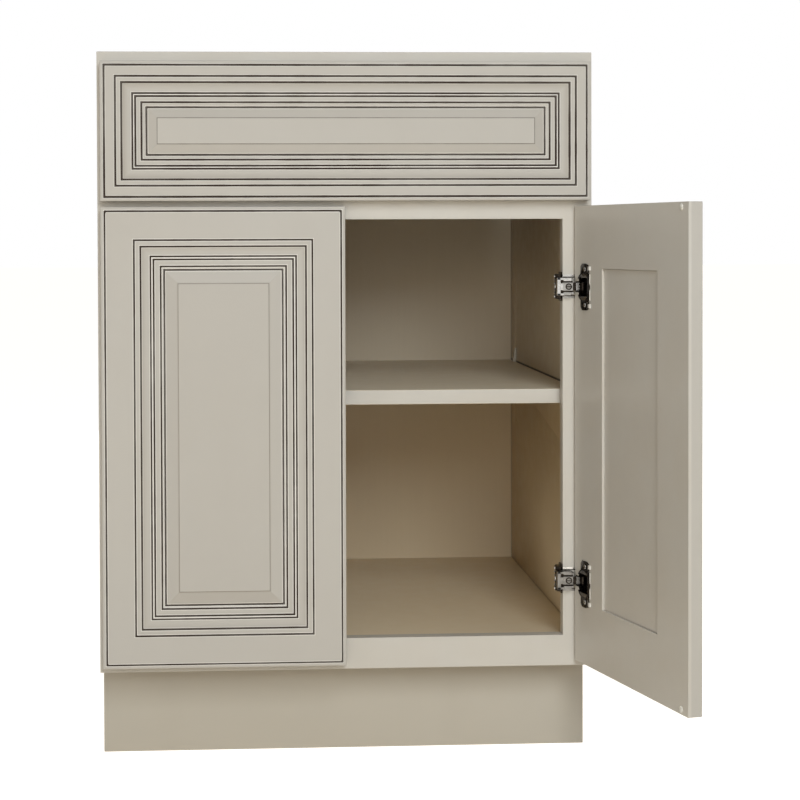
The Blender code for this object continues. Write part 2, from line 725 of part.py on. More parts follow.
def add_drawer(paint, ply, parent):
    long = mesh_of("drawer_rail", mitred_member("drawer", 2 * FRONT_EDGE))
    short = mesh_of("drawer_stile", mitred_member("drawer", DRAWER_FRONT_HEIGHT))
    names = ("left_stile", "right_stile", "top_rail", "bottom_rail")
    corner = (-FRONT_EDGE, FRONTS_FACE, DRAWER_BOTTOM)
    size = (2 * FRONT_EDGE, DRAWER_FRONT_HEIGHT)
    add_front("drawer_front", "drawer", names, (short, short, long, long), paint, parent, corner, *size)

    inside = DRAWER_HALF - DRAWER_SIDE
    front_inside = DRAWER_FRONT_Y + DRAWER_SIDE
    back_inside = DRAWER_BACK_Y - DRAWER_SIDE
    floor_low = DRAWER_LOW + DRAWER_BOTTOM_LIFT
    floor_high = floor_low + DRAWER_BOTTOM_THICK
    reach = DRAWER_GROOVE - FIT
    boards = {
        "left_side": ((-DRAWER_HALF, DRAWER_FRONT_Y), (-inside, DRAWER_BACK_Y)),
        "right_side": ((inside, DRAWER_FRONT_Y), (DRAWER_HALF, DRAWER_BACK_Y)),
        "front": ((-inside + FIT, DRAWER_FRONT_Y), (inside - FIT, front_inside)),
        "back": ((-inside + FIT, back_inside), (inside - FIT, DRAWER_BACK_Y)),
    }
    for word, (near, far) in boards.items():
        name = f"drawer_box_{word}"
        groove = block(
            (-inside - DRAWER_GROOVE, front_inside - DRAWER_GROOVE, floor_low - FIT),
            (inside + DRAWER_GROOVE, back_inside + DRAWER_GROOVE, floor_high + FIT),
        )
        board = block((*near, DRAWER_LOW), (*far, DRAWER_HIGH))
        piece(name, carve(name, board, [("DIFFERENCE", groove)]), ply, parent)
    add_board(
        "drawer_box_bottom",
        (-inside - reach, front_inside - reach, floor_low),
        (inside + reach, back_inside + reach, floor_high),
        ply,
        parent,
    )


def channel(web_x, tip_x, half, gauge, start, end):
    """A C section along Y: a web at web_x and two flanges that reach to tip_x."""
    step = math.copysign(gauge, tip_x - web_x)
    outline = (
        (web_x, -half),
        (tip_x, -half),
        (tip_x, gauge - half),
        (web_x + step, gauge - half),
        (web_x + step, half - gauge),
        (tip_x, half - gauge),
        (tip_x, half),
        (web_x, half),
    )
    return prism(outline, "Y", start, end)


def add_slides(steel, carcass, drawer):
    """Three members a side: the cabinet's, fixed at both ends, the drawer's, and one between them."""
    cabinet_half = SLIDE_HEIGHT / 2
    middle_half = cabinet_half - SLIDE_CABINET_GAUGE - FIT
    drawer_half = middle_half - SLIDE_GAUGE - FIT
    back_end = BACK_FRONT - FIT - SLIDE_START
    web_inside = OPENING - SLIDE_CABINET_GAUGE
    middle_web = web_inside - SLIDE_LIP_GAP
    drawer_web = DRAWER_HALF + FIT
    near_tip = drawer_web + SLIDE_GAUGE + SLIDE_LIP_GAP
    far_tip = middle_web - SLIDE_GAUGE - SLIDE_LIP_GAP
    tab_edge = OPENING + SLIDE_TAB
    start = (0.0, SLIDE_START, SLIDE_Z)
    for word, side in SIDES:
        cabinet = channel(OPENING, near_tip, cabinet_half, SLIDE_CABINET_GAUGE, 0.0, SLIDE_LENGTH)
        bracket = block((web_inside, SLIDE_LENGTH / 2, -middle_half), (OPENING, back_end, middle_half))
        front_tab = block((web_inside, 0.0, -middle_half), (tab_edge, SLIDE_CABINET_GAUGE, middle_half))
        back_tab = block(
            (web_inside, back_end - SLIDE_CABINET_GAUGE, -middle_half),
            (tab_edge, back_end, middle_half),
        )
        name = f"drawer_slide_{word}_cabinet_member"
        steps = [("UNION", mirrored(shape, side)) for shape in (bracket, front_tab, back_tab)]
        piece(name, carve(name, mirrored(cabinet, side), steps), steel, carcass, start)

        rider = empty(f"slide_middle_{word}", start)
        middle = channel(middle_web, near_tip, middle_half, SLIDE_GAUGE, 0.0, SLIDE_LENGTH)
        name = f"drawer_slide_{word}_middle_member"
        piece(name, mesh_of(name, mirrored(middle, side)), steel, rider)

        inner = channel(drawer_web, far_tip, drawer_half, SLIDE_GAUGE, 0.0, DRAWER_BACK_Y - SLIDE_START)
        name = f"drawer_slide_{word}_drawer_member"
        piece(name, mesh_of(name, mirrored(inner, side)), steel, drawer, start)


def main():
    clear_scene()
    paint = principled("satin_paint", (0.50, 0.47, 0.42), 0.45)
    ply = principled("birch_plywood", (0.60, 0.47, 0.31), 0.55)
    nickel = principled("nickel_plated_steel", (0.62, 0.60, 0.57), 0.28, metallic=1.0)
    zinc = principled("zinc_plated_steel", (0.55, 0.56, 0.57), 0.38, metallic=1.0)
    clear = principled("clear_plastic", (0.85, 0.86, 0.85), 0.20, transmission=0.8)
    carcass = empty("carcass", (0.0, 0.0, 0.0))
    drawer = empty("drawer", (0.0, 0.0, 0.0))
    add_carcass(paint, ply, carcass)
    add_face_frame(paint, carcass)
    add_shelf(paint, clear, carcass)
    add_doors(paint, nickel, clear, carcass)
    add_drawer(paint, ply, drawer)
    add_slides(zinc, carcass, drawer)
    bpy.context.view_layer.update()


main()
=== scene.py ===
# %% [markdown]
# # A glazed kitchen base cabinet
# The cabinet has a face frame, one drawer, two raised-panel doors and a shelf. Its solids come from the
# imported model, in metres, with the floor at Z = 0 and the front facing -Y. This lesson dresses them: it
# rounds the boards' edges, runs fine mouldings, adds hinge details and screws, and paints everything with
# materials made of nodes. The first step loads the solids.

# %% Load the solids
import json
import math
from itertools import accumulate

import bmesh
import bpy
from mathutils import Matrix, Vector

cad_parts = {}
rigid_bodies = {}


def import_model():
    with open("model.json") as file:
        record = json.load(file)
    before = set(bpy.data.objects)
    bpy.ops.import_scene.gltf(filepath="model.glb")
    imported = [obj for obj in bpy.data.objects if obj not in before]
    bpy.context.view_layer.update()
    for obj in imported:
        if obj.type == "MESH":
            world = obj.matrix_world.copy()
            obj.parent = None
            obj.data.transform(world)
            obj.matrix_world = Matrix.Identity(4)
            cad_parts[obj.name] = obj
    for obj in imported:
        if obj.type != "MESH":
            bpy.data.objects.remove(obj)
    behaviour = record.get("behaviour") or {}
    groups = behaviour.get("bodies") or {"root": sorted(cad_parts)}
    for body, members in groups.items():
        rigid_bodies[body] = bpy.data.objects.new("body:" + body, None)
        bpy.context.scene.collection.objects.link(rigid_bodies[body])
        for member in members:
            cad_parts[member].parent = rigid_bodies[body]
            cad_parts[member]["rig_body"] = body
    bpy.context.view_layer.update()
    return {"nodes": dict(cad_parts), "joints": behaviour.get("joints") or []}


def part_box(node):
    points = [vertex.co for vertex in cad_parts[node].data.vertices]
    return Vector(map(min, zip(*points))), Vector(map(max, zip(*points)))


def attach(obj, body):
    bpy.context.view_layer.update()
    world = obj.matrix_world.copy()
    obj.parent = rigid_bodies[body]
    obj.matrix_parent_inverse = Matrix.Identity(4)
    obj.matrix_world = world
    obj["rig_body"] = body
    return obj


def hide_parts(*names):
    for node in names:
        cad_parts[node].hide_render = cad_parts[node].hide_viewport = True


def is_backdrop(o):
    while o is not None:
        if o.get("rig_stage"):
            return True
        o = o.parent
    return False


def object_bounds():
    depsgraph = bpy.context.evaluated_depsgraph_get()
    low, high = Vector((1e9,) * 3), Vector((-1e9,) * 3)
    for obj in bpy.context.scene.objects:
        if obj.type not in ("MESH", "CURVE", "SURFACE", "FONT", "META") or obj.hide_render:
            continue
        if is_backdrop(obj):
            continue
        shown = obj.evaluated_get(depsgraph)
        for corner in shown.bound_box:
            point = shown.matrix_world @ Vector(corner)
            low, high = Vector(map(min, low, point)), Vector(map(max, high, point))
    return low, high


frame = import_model()
nodes = frame["nodes"]
scene = bpy.context.scene
mm = 0.001

# %% [markdown]
# Every later step needs a few places: the face frame's planes, the doorway's half width and the doors'
# thickness. They could be typed in, but measured on the solids they can't drift away from them. The right
# door stands open in the stored pose, and its joint says about which line and by how much.

# %% Measure the main places
stile_low, stile_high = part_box("face_frame_right_stile")
lock_low, lock_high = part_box("left_door_lock_stile")
FRAME_FRONT, FRAME_BACK = stile_low.y, stile_high.y
OPENING, HALF = stile_low.x, stile_high.x
FRONT_FACE, FRONT_BACK = lock_low.y, lock_high.y
FRONT_THICK = FRONT_BACK - FRONT_FACE
swing = {joint["name"]: joint for joint in frame["joints"]}["right_door_swing"]
PIVOT = Vector(swing["pos_m"])
OPEN_ANGLE = math.radians(-swing["range_deg"][0])
print(f"frame front {FRAME_FRONT:.4f}, doorway half width {OPENING:.4f}")
print(f"the door opens {math.degrees(OPEN_ANGLE):.0f} degrees")

# %% [markdown]
# Materials first. A finish is a node tree. Every node and link could have a line of its own, but that soon
# fills pages, and sums are easier to read. The class `Wire` stands for one socket, so that `1 - mask` adds
# the Math node that works it out.

# %% Let sockets take part in sums
class Wire:
    """A socket that takes part in sums."""

    def __init__(self, tree, socket):
        self.tree = tree
        self.socket = socket

    def __add__(self, other):
        return self.tree.sum("ADD", self, other)

    def __sub__(self, other):
        return self.tree.sum("SUBTRACT", self, other)

    def __rsub__(self, other):
        return self.tree.sum("SUBTRACT", other, self)

    def __mul__(self, other):
        return self.tree.sum("MULTIPLY", self, other)

    def __abs__(self):
        return self.tree.sum("ABSOLUTE", self)


print("sockets can be added")

# %% [markdown]
# The class `Tree` holds any node tree, of a material, of the world or of Geometry Nodes. Each kind of node
# could have a function of its own, but all of them have settings and sockets, so one method adds any node:
# its settings first, then the values or wires of its sockets.

# %% Add any node by one method
class Tree:
    """A node tree in the making."""

    def __init__(self, tree):
        self.tree = tree

    def node(self, kind, settings=None, values=None, out=0):
        """A new node with its settings and its sockets' values or wires. Gives the wire that leaves it."""
        made = self.tree.nodes.new(kind)
        for key, value in (settings or {}).items():
            setattr(made, key, value)
        for key, value in (values or {}).items():
            self.feed(made.inputs[key], value)
        return Wire(self, made.outputs[out]) if made.outputs else None

    def feed(self, socket, value):
        """Joins a wire to a socket, or sets the socket's value."""
        if isinstance(value, Wire):
            self.tree.links.new(value.socket, socket)
        else:
            socket.default_value = value

    def sum(self, operation, *terms):
        """A Math node over wires and numbers."""
        return self.node("ShaderNodeMath", {"operation": operation}, dict(enumerate(terms)))


print("node sums are ready")

# %% [markdown]
# A `Finish` is the tree of one material. Patterns could lie on UV maps, but every board would have to be
# unwrapped for that. Object coordinates are metres in the cabinet's own frame, so grain and clouds keep
# their real size on every piece without a map. The methods below are the few steps that all finishes share:
# noise, a smooth ramp, clouds, a mix of two colours.

# %% Gather what finishes share
class Finish(Tree):
    """A material in the making. A constant is a socket's name with _ for each space, and its value."""

    def __init__(self, name, **constants):
        self.material = bpy.data.materials.new(name)
        self.material.use_nodes = True
        super().__init__(self.material.node_tree)
        self.shader = self.tree.nodes["Principled BSDF"].inputs
        for socket, value in constants.items():
            self.shader[socket.replace("_", " ")].default_value = value

    def axis(self, word):
        """How far a point is along one axis, in metres."""
        point = self.node("ShaderNodeTexCoord", out="Object")
        return self.node("ShaderNodeSeparateXYZ", None, {0: point}, word)

    def facing(self, word):
        """How far the surface looks along one axis."""
        normal = self.node("ShaderNodeNewGeometry", out="Normal")
        return self.node("ShaderNodeSeparateXYZ", None, {0: normal}, word)

    def carried(self, word):
        """A number that the mesh carries at each point, or 0 where it carries none."""
        return self.node("ShaderNodeAttribute", {"attribute_name": word}, out="Fac")

    def noise(self, scale, detail=2.0, stretch=(1.0, 1.0, 1.0)):
        """Clouds from 0 to 1, about 1 / scale metres across, finer where an axis is stretched."""
        point = self.node("ShaderNodeTexCoord", out="Object")
        place = self.node("ShaderNodeMapping", None, {"Vector": point, "Scale": stretch})
        values = {"Vector": place, "Scale": scale, "Detail": detail}
        return self.node("ShaderNodeTexNoise", None, values, "Fac")

    def ramp(self, value, low, high, start=0.0, end=1.0):
        """A value brought smoothly from one range to another."""
        values = {"Value": value, "From Min": low, "From Max": high, "To Min": start, "To Max": end}
        return self.node("ShaderNodeMapRange", {"interpolation_type": "SMOOTHSTEP"}, values)

    def clouds(self, scale, start=0.0, end=1.0, low=0.3, high=0.7, **noise):
        """Noise with more contrast: from low to high, it runs smoothly from start to end."""
        return self.ramp(self.noise(scale, **noise), low, high, start, end)

    def mix(self, share, first, second):
        """One colour laid over another by a share."""
        return self.node("ShaderNodeMix", {"data_type": "RGBA"}, {0: share, 6: first, 7: second}, 2)

    def surface(self, colour, roughness, height=None, depth=None):
        """Joins what varies to the shader. The height makes a bump of that depth."""
        self.feed(self.shader["Base Color"], colour)
        self.feed(self.shader["Roughness"], roughness)
        if height is not None:
            bump = self.node("ShaderNodeBump", None, {"Height": height, "Distance": depth, "Strength": 1.0})
            self.feed(self.shader["Normal"], bump)
        return self.material


print("finishes are ready")

# %% [markdown]
# The paint is a satin greige, sprayed over maple. One flat tone would do from afar, but close up it would
# look like plastic. So a broad drift makes the tone a little warmer here and there, faint clouds cool it,
# and the skin has the ripples that a spray gun leaves.

# %% Mix the paint
def srgb(red, green, blue):
    """A colour read as 0 to 255 on a screen, as linear light."""
    return (*[(c / 255) ** 2.2 for c in (red, green, blue)], 1.0)


PAINT = srgb(201, 195, 185)
PAINT_WARM = srgb(197, 189, 176)
PAINT_COOL = srgb(203, 199, 191)
PAINT_SKIN = 0.06 * mm


def paint_colour(finish):
    """Greige with a broad drift of tone and faint clouds, as sprayed paint has."""
    drift = finish.clouds(2.2, detail=1.0)
    clouds = finish.clouds(14.0, low=0.35, detail=3.0)
    base = finish.mix(drift * 0.6, PAINT, PAINT_WARM)
    return finish.mix(clouds * 0.35, base, PAINT_COOL)


def paint_height(finish):
    """The skin of sprayed paint: fine ripples, with slow waves below."""
    return finish.noise(900.0, 1.0) * 0.25 + finish.noise(70.0) * 0.6


print(f"a skin of paint waves by {PAINT_SKIN / mm:.2f} mm")

# %% [markdown]
# Glaze is a thin brown stain that is wiped off the flats and stays in the creases, so a dark line runs along
# each step of the mouldings, here full and there half wiped away. A pale band beside a line is a painted
# highlight on the edge there, and a film of stain lies in the coves. Such lines could be painted on an image,
# but they would blur close up and miss the steps. So the mouldings carry three attributes: `crease` is 1 in a
# crease and falls to 0 two millimetres away, `glaze` is how much stain that crease holds, and `hollow`
# is how much film lies there, with painted shade on the door panels. The paint turns them into lines whose
# width wanders with noise. Boards carry none of them, and stay plain.

# %% Wipe on the glaze
MARK_WORDS = ("crease", "glaze", "hollow")
# The toe-kick's darker, warmer tone paints the shade under the cabinet and warm light from the floor.
PAINT_TOE_SHADED = srgb(181, 173, 158)
VEILED = srgb(182, 176, 167)
# Pale paint for the painted highlight beside each line.
PAINTED_HIGHLIGHT = srgb(240, 236, 227)
# Brown film of glaze; the same tone paints shade on the door panels.
FILM_AND_SHADE = srgb(120, 104, 84)
GLAZE = srgb(46, 34, 25)
LINE_FROM, LINE_FULL = 0.495, 0.635


def stain_line(finish, crease, load):
    """The dark line of glaze: wider where the crease holds more, with a ragged edge and wiped patches."""
    wander = finish.clouds(38.0, -0.05, 0.05, 0.25, 0.75)
    flecks = finish.clouds(420.0, -0.012, 0.012)
    line = finish.ramp(crease + (load - 1.0) * 0.35 + wander + flecks, LINE_FROM, LINE_FULL)
    wiped = finish.clouds(9.0, 0.86, 1.0, 0.3, 0.6)
    return line * finish.ramp(load, 0.0, 0.9) * wiped


def glazed_paint(name, shaded_tone=None):
    """The glazed paint, or a plain one darkened towards a tone that paints shade and warm bounce light."""
    finish = Finish(name, Coat_Roughness=0.22, IOR=1.46)
    crease, load, hollow = [finish.carried(word) for word in MARK_WORDS]
    stain = stain_line(finish, crease, load)
    # What is moulded has a thin veil of glaze all over.
    if shaded_tone is None:
        veil = finish.ramp(load, 0.05, 0.3, 0.0, 0.75)
        colour = finish.mix(veil, paint_colour(finish), VEILED)
    else:
        # A plain paint darkened towards a tone: painted shade.
        colour = finish.mix(0.85, paint_colour(finish), shaded_tone)
    # A painted highlight: a pale band just outside each well-filled line, where its edge would catch the
    # light.
    beside = finish.ramp(crease, 0.02, 0.2, 0.0, 0.85) * finish.ramp(crease, 0.3, 0.45, 1.0, 0.0)
    colour = finish.mix(beside * finish.ramp(load, 0.5, 0.9), colour, PAINTED_HIGHLIGHT)
    # It leaves a haze near the lines, more of it in the coves, and faint upright streaks; the same tone
    # paints shade on the door panels.
    streaks = finish.clouds(11.0, 0.0, 0.04, 0.5, 0.8, detail=4.0, stretch=(1.0, 1.0, 0.25))
    haze_and_shade = finish.ramp(crease, 0.0, 1.0, 0.0, 0.05) * load + hollow * 0.36 + streaks
    colour = finish.mix(haze_and_shade, colour, FILM_AND_SHADE)
    colour = finish.mix(stain, colour, GLAZE)
    roughness = finish.clouds(60.0, 0.36, 0.44) + stain * 0.12
    finish.feed(finish.shader["Coat Weight"], 0.25 - stain * 0.2)
    return finish.surface(colour, roughness, paint_height(finish) - stain * 0.4, PAINT_SKIN)


greige = glazed_paint("glazed_greige_paint")
toe_shaded_paint = glazed_paint("toe_board_paint", PAINT_TOE_SHADED)
print(f"{greige.name}: {len(greige.node_tree.nodes)} nodes")

# %% [markdown]
# Inside, the boards are faced with a tan laminate that is a little warmer than the paint. Its print has very
# faint long streaks. The sides wear the laminate inside and paint outside, and the shelf has a painted front
# edge. Their faces could be sorted into two materials, but the rounded edges lie between them, so one tree
# mixes both by place: `painted_past` gives the plane beyond which the paint begins. Where boards meet, a
# thin dark joint shows, with painted shade in the corner. A painted shadow lies on the sides along the
# shelf, painted shade darkens the top of the inside, and painted warm bounce light makes the space below
# the shelf a little warmer than the one above. The floor, back and shelf wear lighter copies of the tan,
# which paint light on them.

# %% Mix the inside laminate
TAN = srgb(203, 186, 158)
TAN_DEEP = srgb(198, 180, 151)
TAN_PALE = srgb(238, 226, 203)
# A warm tone for painted bounce light below the shelf.
TAN_BOUNCE_LIGHT = srgb(216, 181, 120)
# Lighter copies of the tan paint light on the floor, the back and the shelf; the sides keep the plain tan.
TAN_FLOOR_LIT = srgb(234, 221, 197)
TAN_BACK_LIT = srgb(229, 216, 193)
TAN_SHELF_LIT = srgb(226, 213, 189)
JOINT_AND_SHADE = srgb(44, 32, 20)
STREAKS_UPRIGHT, STREAKS_ACROSS, STREAKS_DEEP = (60.0, 60.0, 2.0), (2.0, 60.0, 60.0), (60.0, 2.0, 2.0)
SIDE_FACE = -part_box("side_panel_left")[1].x
BACK_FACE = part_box("back_panel")[0].y
SHELF_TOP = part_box("shelf")[1].z
# Dark joints with painted shade where the sides meet the floor and back, a painted shadow on the sides along
# the shelf, and painted shade over the top of the inside.
SIDE_JOINT_AND_SHADE = ("X", SIDE_FACE - 0.3 * mm, HALF, 1.5 * mm, 0.4)
BACK_JOINT_AND_SHADE = ("Y", BACK_FACE - 0.3 * mm, BACK_FACE + 0.1, 1.5 * mm, 0.35)
SHELF_PAINTED_SHADOW = ("Z", SHELF_TOP - 6 * mm, SHELF_TOP + 0.9 * mm, 2.0 * mm, 0.95)
PAINTED_SHADE_TOP = ("Z", 0.66, 1.0, 0.12, 0.28)
BOUNCE_FROM, BOUNCE_TO, BOUNCE_SHARE = SHELF_TOP - 0.06, SHELF_TOP - 0.01, 0.28
LAMINATE_SKIN = 0.04 * mm


def laminate(name, streaks, tone=TAN, joints=(), painted_past=None, across="X"):
    """Laminate. A joint, or a band of painted shade, is an axis, where its dark starts and ends, how soft and
    how dark it is. The plane that the paint begins past counts on both sides of the middle, or in front alone
    if it is negative."""
    finish = Finish(name, IOR=1.46)
    streak_share, streak_tone = (0.4, TAN_DEEP) if tone is TAN else (0.15, TAN_PALE)
    streak = finish.clouds(3.0, 0.0, streak_share, high=0.75, detail=4.0, stretch=streaks)
    colour = finish.mix(streak, tone, streak_tone)
    indoors = finish.ramp(finish.axis("Y"), BACK_FACE + 1 * mm, BACK_FACE + 2 * mm, 1.0, 0.0)
    # Painted warm bounce light: below the shelf the tan turns warmer.
    painted_bounce = finish.ramp(finish.axis("Z"), BOUNCE_FROM, BOUNCE_TO, BOUNCE_SHARE, 0.0)
    colour = finish.mix(painted_bounce * indoors, colour, TAN_BOUNCE_LIGHT)
    # Each band darkens towards the joint tone: dark joints, painted shade and painted shadow.
    for word, start, end, soft, share in joints:
        reach = abs(finish.axis(word)) if word == "X" else finish.axis(word)
        inside = finish.ramp(reach, start - soft, start) * finish.ramp(reach, end, end + soft, share, 0.0)
        colour = finish.mix(inside * indoors, colour, JOINT_AND_SHADE)
    if painted_past is not None:
        reach = abs(finish.axis(across)) if painted_past > 0 else 0.0 - finish.axis(across)
        paint_from = abs(painted_past)
        painted = finish.ramp(reach, paint_from - 0.2 * mm, paint_from)
        colour = finish.mix(painted, colour, paint_colour(finish))
    return finish.surface(colour, finish.clouds(45.0, 0.34, 0.42), paint_height(finish), LAMINATE_SKIN)


shelf_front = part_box("shelf")[0].y
floor_faces = laminate("tan_laminate", STREAKS_DEEP, TAN_FLOOR_LIT, (SIDE_JOINT_AND_SHADE, BACK_JOINT_AND_SHADE))
back_faces = laminate("back_faces", STREAKS_UPRIGHT, TAN_BACK_LIT, (SIDE_JOINT_AND_SHADE, PAINTED_SHADE_TOP))
shelf_faces = laminate("shelf_faces", STREAKS_ACROSS, TAN_SHELF_LIT, (), shelf_front, "Y")
side_joints_and_shade = (SHELF_PAINTED_SHADOW, BACK_JOINT_AND_SHADE, PAINTED_SHADE_TOP)
side_faces = laminate("side_panel_faces", STREAKS_UPRIGHT, TAN, side_joints_and_shade, HALF - 2 * mm)
print(f"four laminates, side faces {SIDE_FACE:.4f} from the middle")

# %% [markdown]
# Boards come from their solids. A cube could stand for a board, but the solid already has its grooves, notch
# and pin holes. It is made of loose triangles, so a copy is welded and its flat faces are joined before a
# modifier works on it. What the modifiers make is then kept as a plain mesh, because a finished piece
# carries none.

# %% Weld solids and settle modifiers
WELD = 0.001 * mm


def welded(node):
    """A copy of a solid with its corners welded and its flat faces joined."""
    shape = bmesh.new()
    shape.from_mesh(nodes[node].data)
    bmesh.ops.remove_doubles(shape, verts=shape.verts, dist=WELD)
    bmesh.ops.dissolve_limit(shape, angle_limit=math.radians(1), verts=shape.verts, edges=shape.edges)
    return shape


def plain_mesh(maker):
    """The mesh of an object after its modifiers. The object itself is removed."""
    bpy.context.view_layer.update()
    plain = bpy.data.meshes.new_from_object(maker.evaluated_get(bpy.context.evaluated_depsgraph_get()))
    plain.name = maker.name
    bpy.data.objects.remove(maker)
    return plain


def in_scene(name, mesh):
    """An object of a mesh, linked to the scene."""
    made = bpy.data.objects.new(name, mesh)
    scene.collection.objects.link(made)
    return made


def mesh_of(name, shape):
    """A shape as a mesh."""
    mesh = bpy.data.meshes.new(name)
    shape.to_mesh(mesh)
    shape.free()
    return mesh


def settled(name, shape, modifiers=()):
    """The plain mesh of a shape after its modifiers, each a kind with its settings."""
    maker = in_scene(name, mesh_of(name, shape))
    maker.data.shade_smooth()
    for kind, settings in modifiers:
        modifier = maker.modifiers.new(kind, kind)
        for key, value in settings.items():
            setattr(modifier, key, value)
    return plain_mesh(maker)


print(f"corners closer than {WELD / mm:.3f} mm are welded")

# %% [markdown]
# A real board has no razor edge: sanding and paint round it by half a millimetre or more, and that thin
# round catches the light. A Bevel node in the material could fake it, but the exported mesh would stay
# sharp, so a Bevel modifier rounds the edges. Where two boards butt, the edges across the joint stay sharp,
# so only the edges along the named axes are rounded.

# %% Round edges
IN_LINE = 0.99


def rounded(name, shape, radius, along="XYZ", sharp=40):
    """The shape with its sharp edges rounded, those along the named axes only."""
    weight = shape.edges.layers.float.new("bevel_weight_edge")
    for edge in shape.edges:
        run = (edge.verts[1].co - edge.verts[0].co).normalized()
        slanted = max(abs(part) for part in run) < IN_LINE
        in_line = any(abs(run["XYZ".index(word)]) > IN_LINE for word in along) or (slanted and along == "XYZ")
        if len(edge.link_faces) == 2 and edge.calc_face_angle() > math.radians(sharp):
            edge.smooth = in_line and edge.is_convex
            edge[weight] = float(edge.smooth)
    settings = {"width": radius, "segments": 3, "limit_method": "WEIGHT", "harden_normals": True}
    return settled(name, shape, [("BEVEL", settings)])


print("edges can be rounded")

# %% [markdown]
# Each piece could say them by itself, but one function for all of them forgets none.

# %% Hang pieces on their bodies
SANDED, SAWN = 0.8 * mm, 0.3 * mm


def hang(name, mesh, finishes, body, slot, *stands_for):
    """A finished mesh in its place in the scene, riding on a body. The finishes are given if it has none."""
    piece = in_scene(name, mesh)
    if not mesh.materials:
        for finish in finishes:
            mesh.materials.append(finish)
    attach(piece, body)
    if stands_for:
        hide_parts(*stands_for)


def board(node, finish, slot, radius=SANDED, along="XYZ", stretch=0.0):
    """A rounded board in place of its solid. The stretch moves both of its X ends outwards."""
    shape = welded(node)
    for corner in shape.verts:
        corner.co.x += math.copysign(stretch, corner.co.x)
    mesh = rounded(f"{node}_board", shape, radius, along)
    hang(f"{node}_board", mesh, [finish], nodes[node]["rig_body"], slot, node)


print(f"boards can be made of {len(nodes)} solids")

# %% [markdown]
# The face frame is glued up from two stiles and three rails, then sanded flush and painted, so no joint
# shows. A Boolean could join the five boards, but it leaves stray edges where they meet. So the visible
# piece is one mesh: a grid of cells on the boards' own lines, filled where there is wood, with walls where a
# filled cell meets an empty one. The rounding then runs round both openings. The toe-kick board below is a
# plain board, in a darker, warmer paint that paints the shade under the cabinet and warm light from the
# floor.

# %% Glue up the face frame
rails = {word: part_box(f"face_frame_{word}_rail") for word in ("bottom", "middle", "top")}
columns = [-HALF, -OPENING, OPENING, HALF]
levels = sorted({round(end.z, 6) for box in (*rails.values(), (stile_low, stile_high)) for end in box})
filled = set()
for step in range(len(levels) - 1):
    middle = (levels[step] + levels[step + 1]) / 2
    filled |= {(0, step), (2, step)}
    if any(low.z < middle < high.z for low, high in rails.values()):
        filled.add((1, step))
shape = bmesh.new()
grid = {}
for i, j in filled:
    for y in (FRAME_FRONT, FRAME_BACK):
        for a, b in ((i, j), (i + 1, j), (i + 1, j + 1), (i, j + 1)):
            if (a, b, y) not in grid:
                grid[a, b, y] = shape.verts.new((columns[a], y, levels[b]))
for i, j in filled:
    cell = [(i, j), (i + 1, j), (i + 1, j + 1), (i, j + 1)]
    for y in (FRAME_FRONT, FRAME_BACK):
        shape.faces.new([grid[a, b, y] for a, b in cell])
    for at, beside in enumerate(((i, j - 1), (i + 1, j), (i, j + 1), (i - 1, j))):
        if beside not in filled:
            (a, b), (c, d) = cell[at], cell[(at + 1) % 4]
            front = [grid[a, b, FRAME_FRONT], grid[c, d, FRAME_FRONT]]
            shape.faces.new([*front, grid[c, d, FRAME_BACK], grid[a, b, FRAME_BACK]])
bmesh.ops.recalc_face_normals(shape, faces=shape.faces)
words = ("left_stile", "right_stile", "top_rail", "middle_rail", "bottom_rail")
members = [f"face_frame_{word}" for word in words]
glued = rounded("face_frame_glued", shape, SANDED)
hang("face_frame_glued", glued, [greige], "carcass", "painted_wood", *members)
board("toe_kick_board", toe_shaded_paint, "painted_wood", 0.6 * mm)
print(f"face frame of {len(filled)} cells, and the toe-kick board")

# %% [markdown]
# The box behind the frame: sides, floor, back and shelf, all faced with laminate. A panel saw leaves their
# edges nearly sharp. They could stay as the solids are, but even a hair of round keeps an edge from looking
# like cut paper. The shelf is a little rounder, and a little shorter than the box is wide, as a loose shelf
# has to be.

# %% Face the carcass
SHELF_PLAY = 0.9 * mm
for word in ("left", "right"):
    board(f"side_panel_{word}", side_faces, "painted_wood", SAWN)
board("bottom_panel", floor_faces, "painted_wood", SAWN)
board("back_panel", back_faces, "painted_wood", SAWN)
board("shelf", shelf_faces, "painted_wood", 0.7 * mm, stretch=-SHELF_PLAY)
print("sides, floor, back and shelf")

# %% [markdown]
# The fronts are the heart of the cabinet. A curve with a bevel could carry a moulding's section along a
# frame, but its corners couldn't hold the stains. So each section is a line of its own through corners,
# which have an inset from the front's edge, a depth behind its face and a radius. `drawn` turns them into a
# smooth line with extra points beside each crease, so that the `crease` attribute is exact between them.
# `held` then says what a point holds of the three marks: how near a crease is, its glaze, and film with
# painted shade.

# %% Draw sections with creases
CREASE_REACH = 2 * mm
BESIDE = [step * mm for step in (0.2, 0.4, 0.6, 0.8, 1.0, 1.3, 1.6, 2.0)]
SLOPE_FOOT = 7.0 * mm
GLAZED_DEPTH = SLOPE_FOOT + 0.4 * mm
TURNS = 4
ROUND_SHARE = 0.48
CLOSE = 0.05 * mm


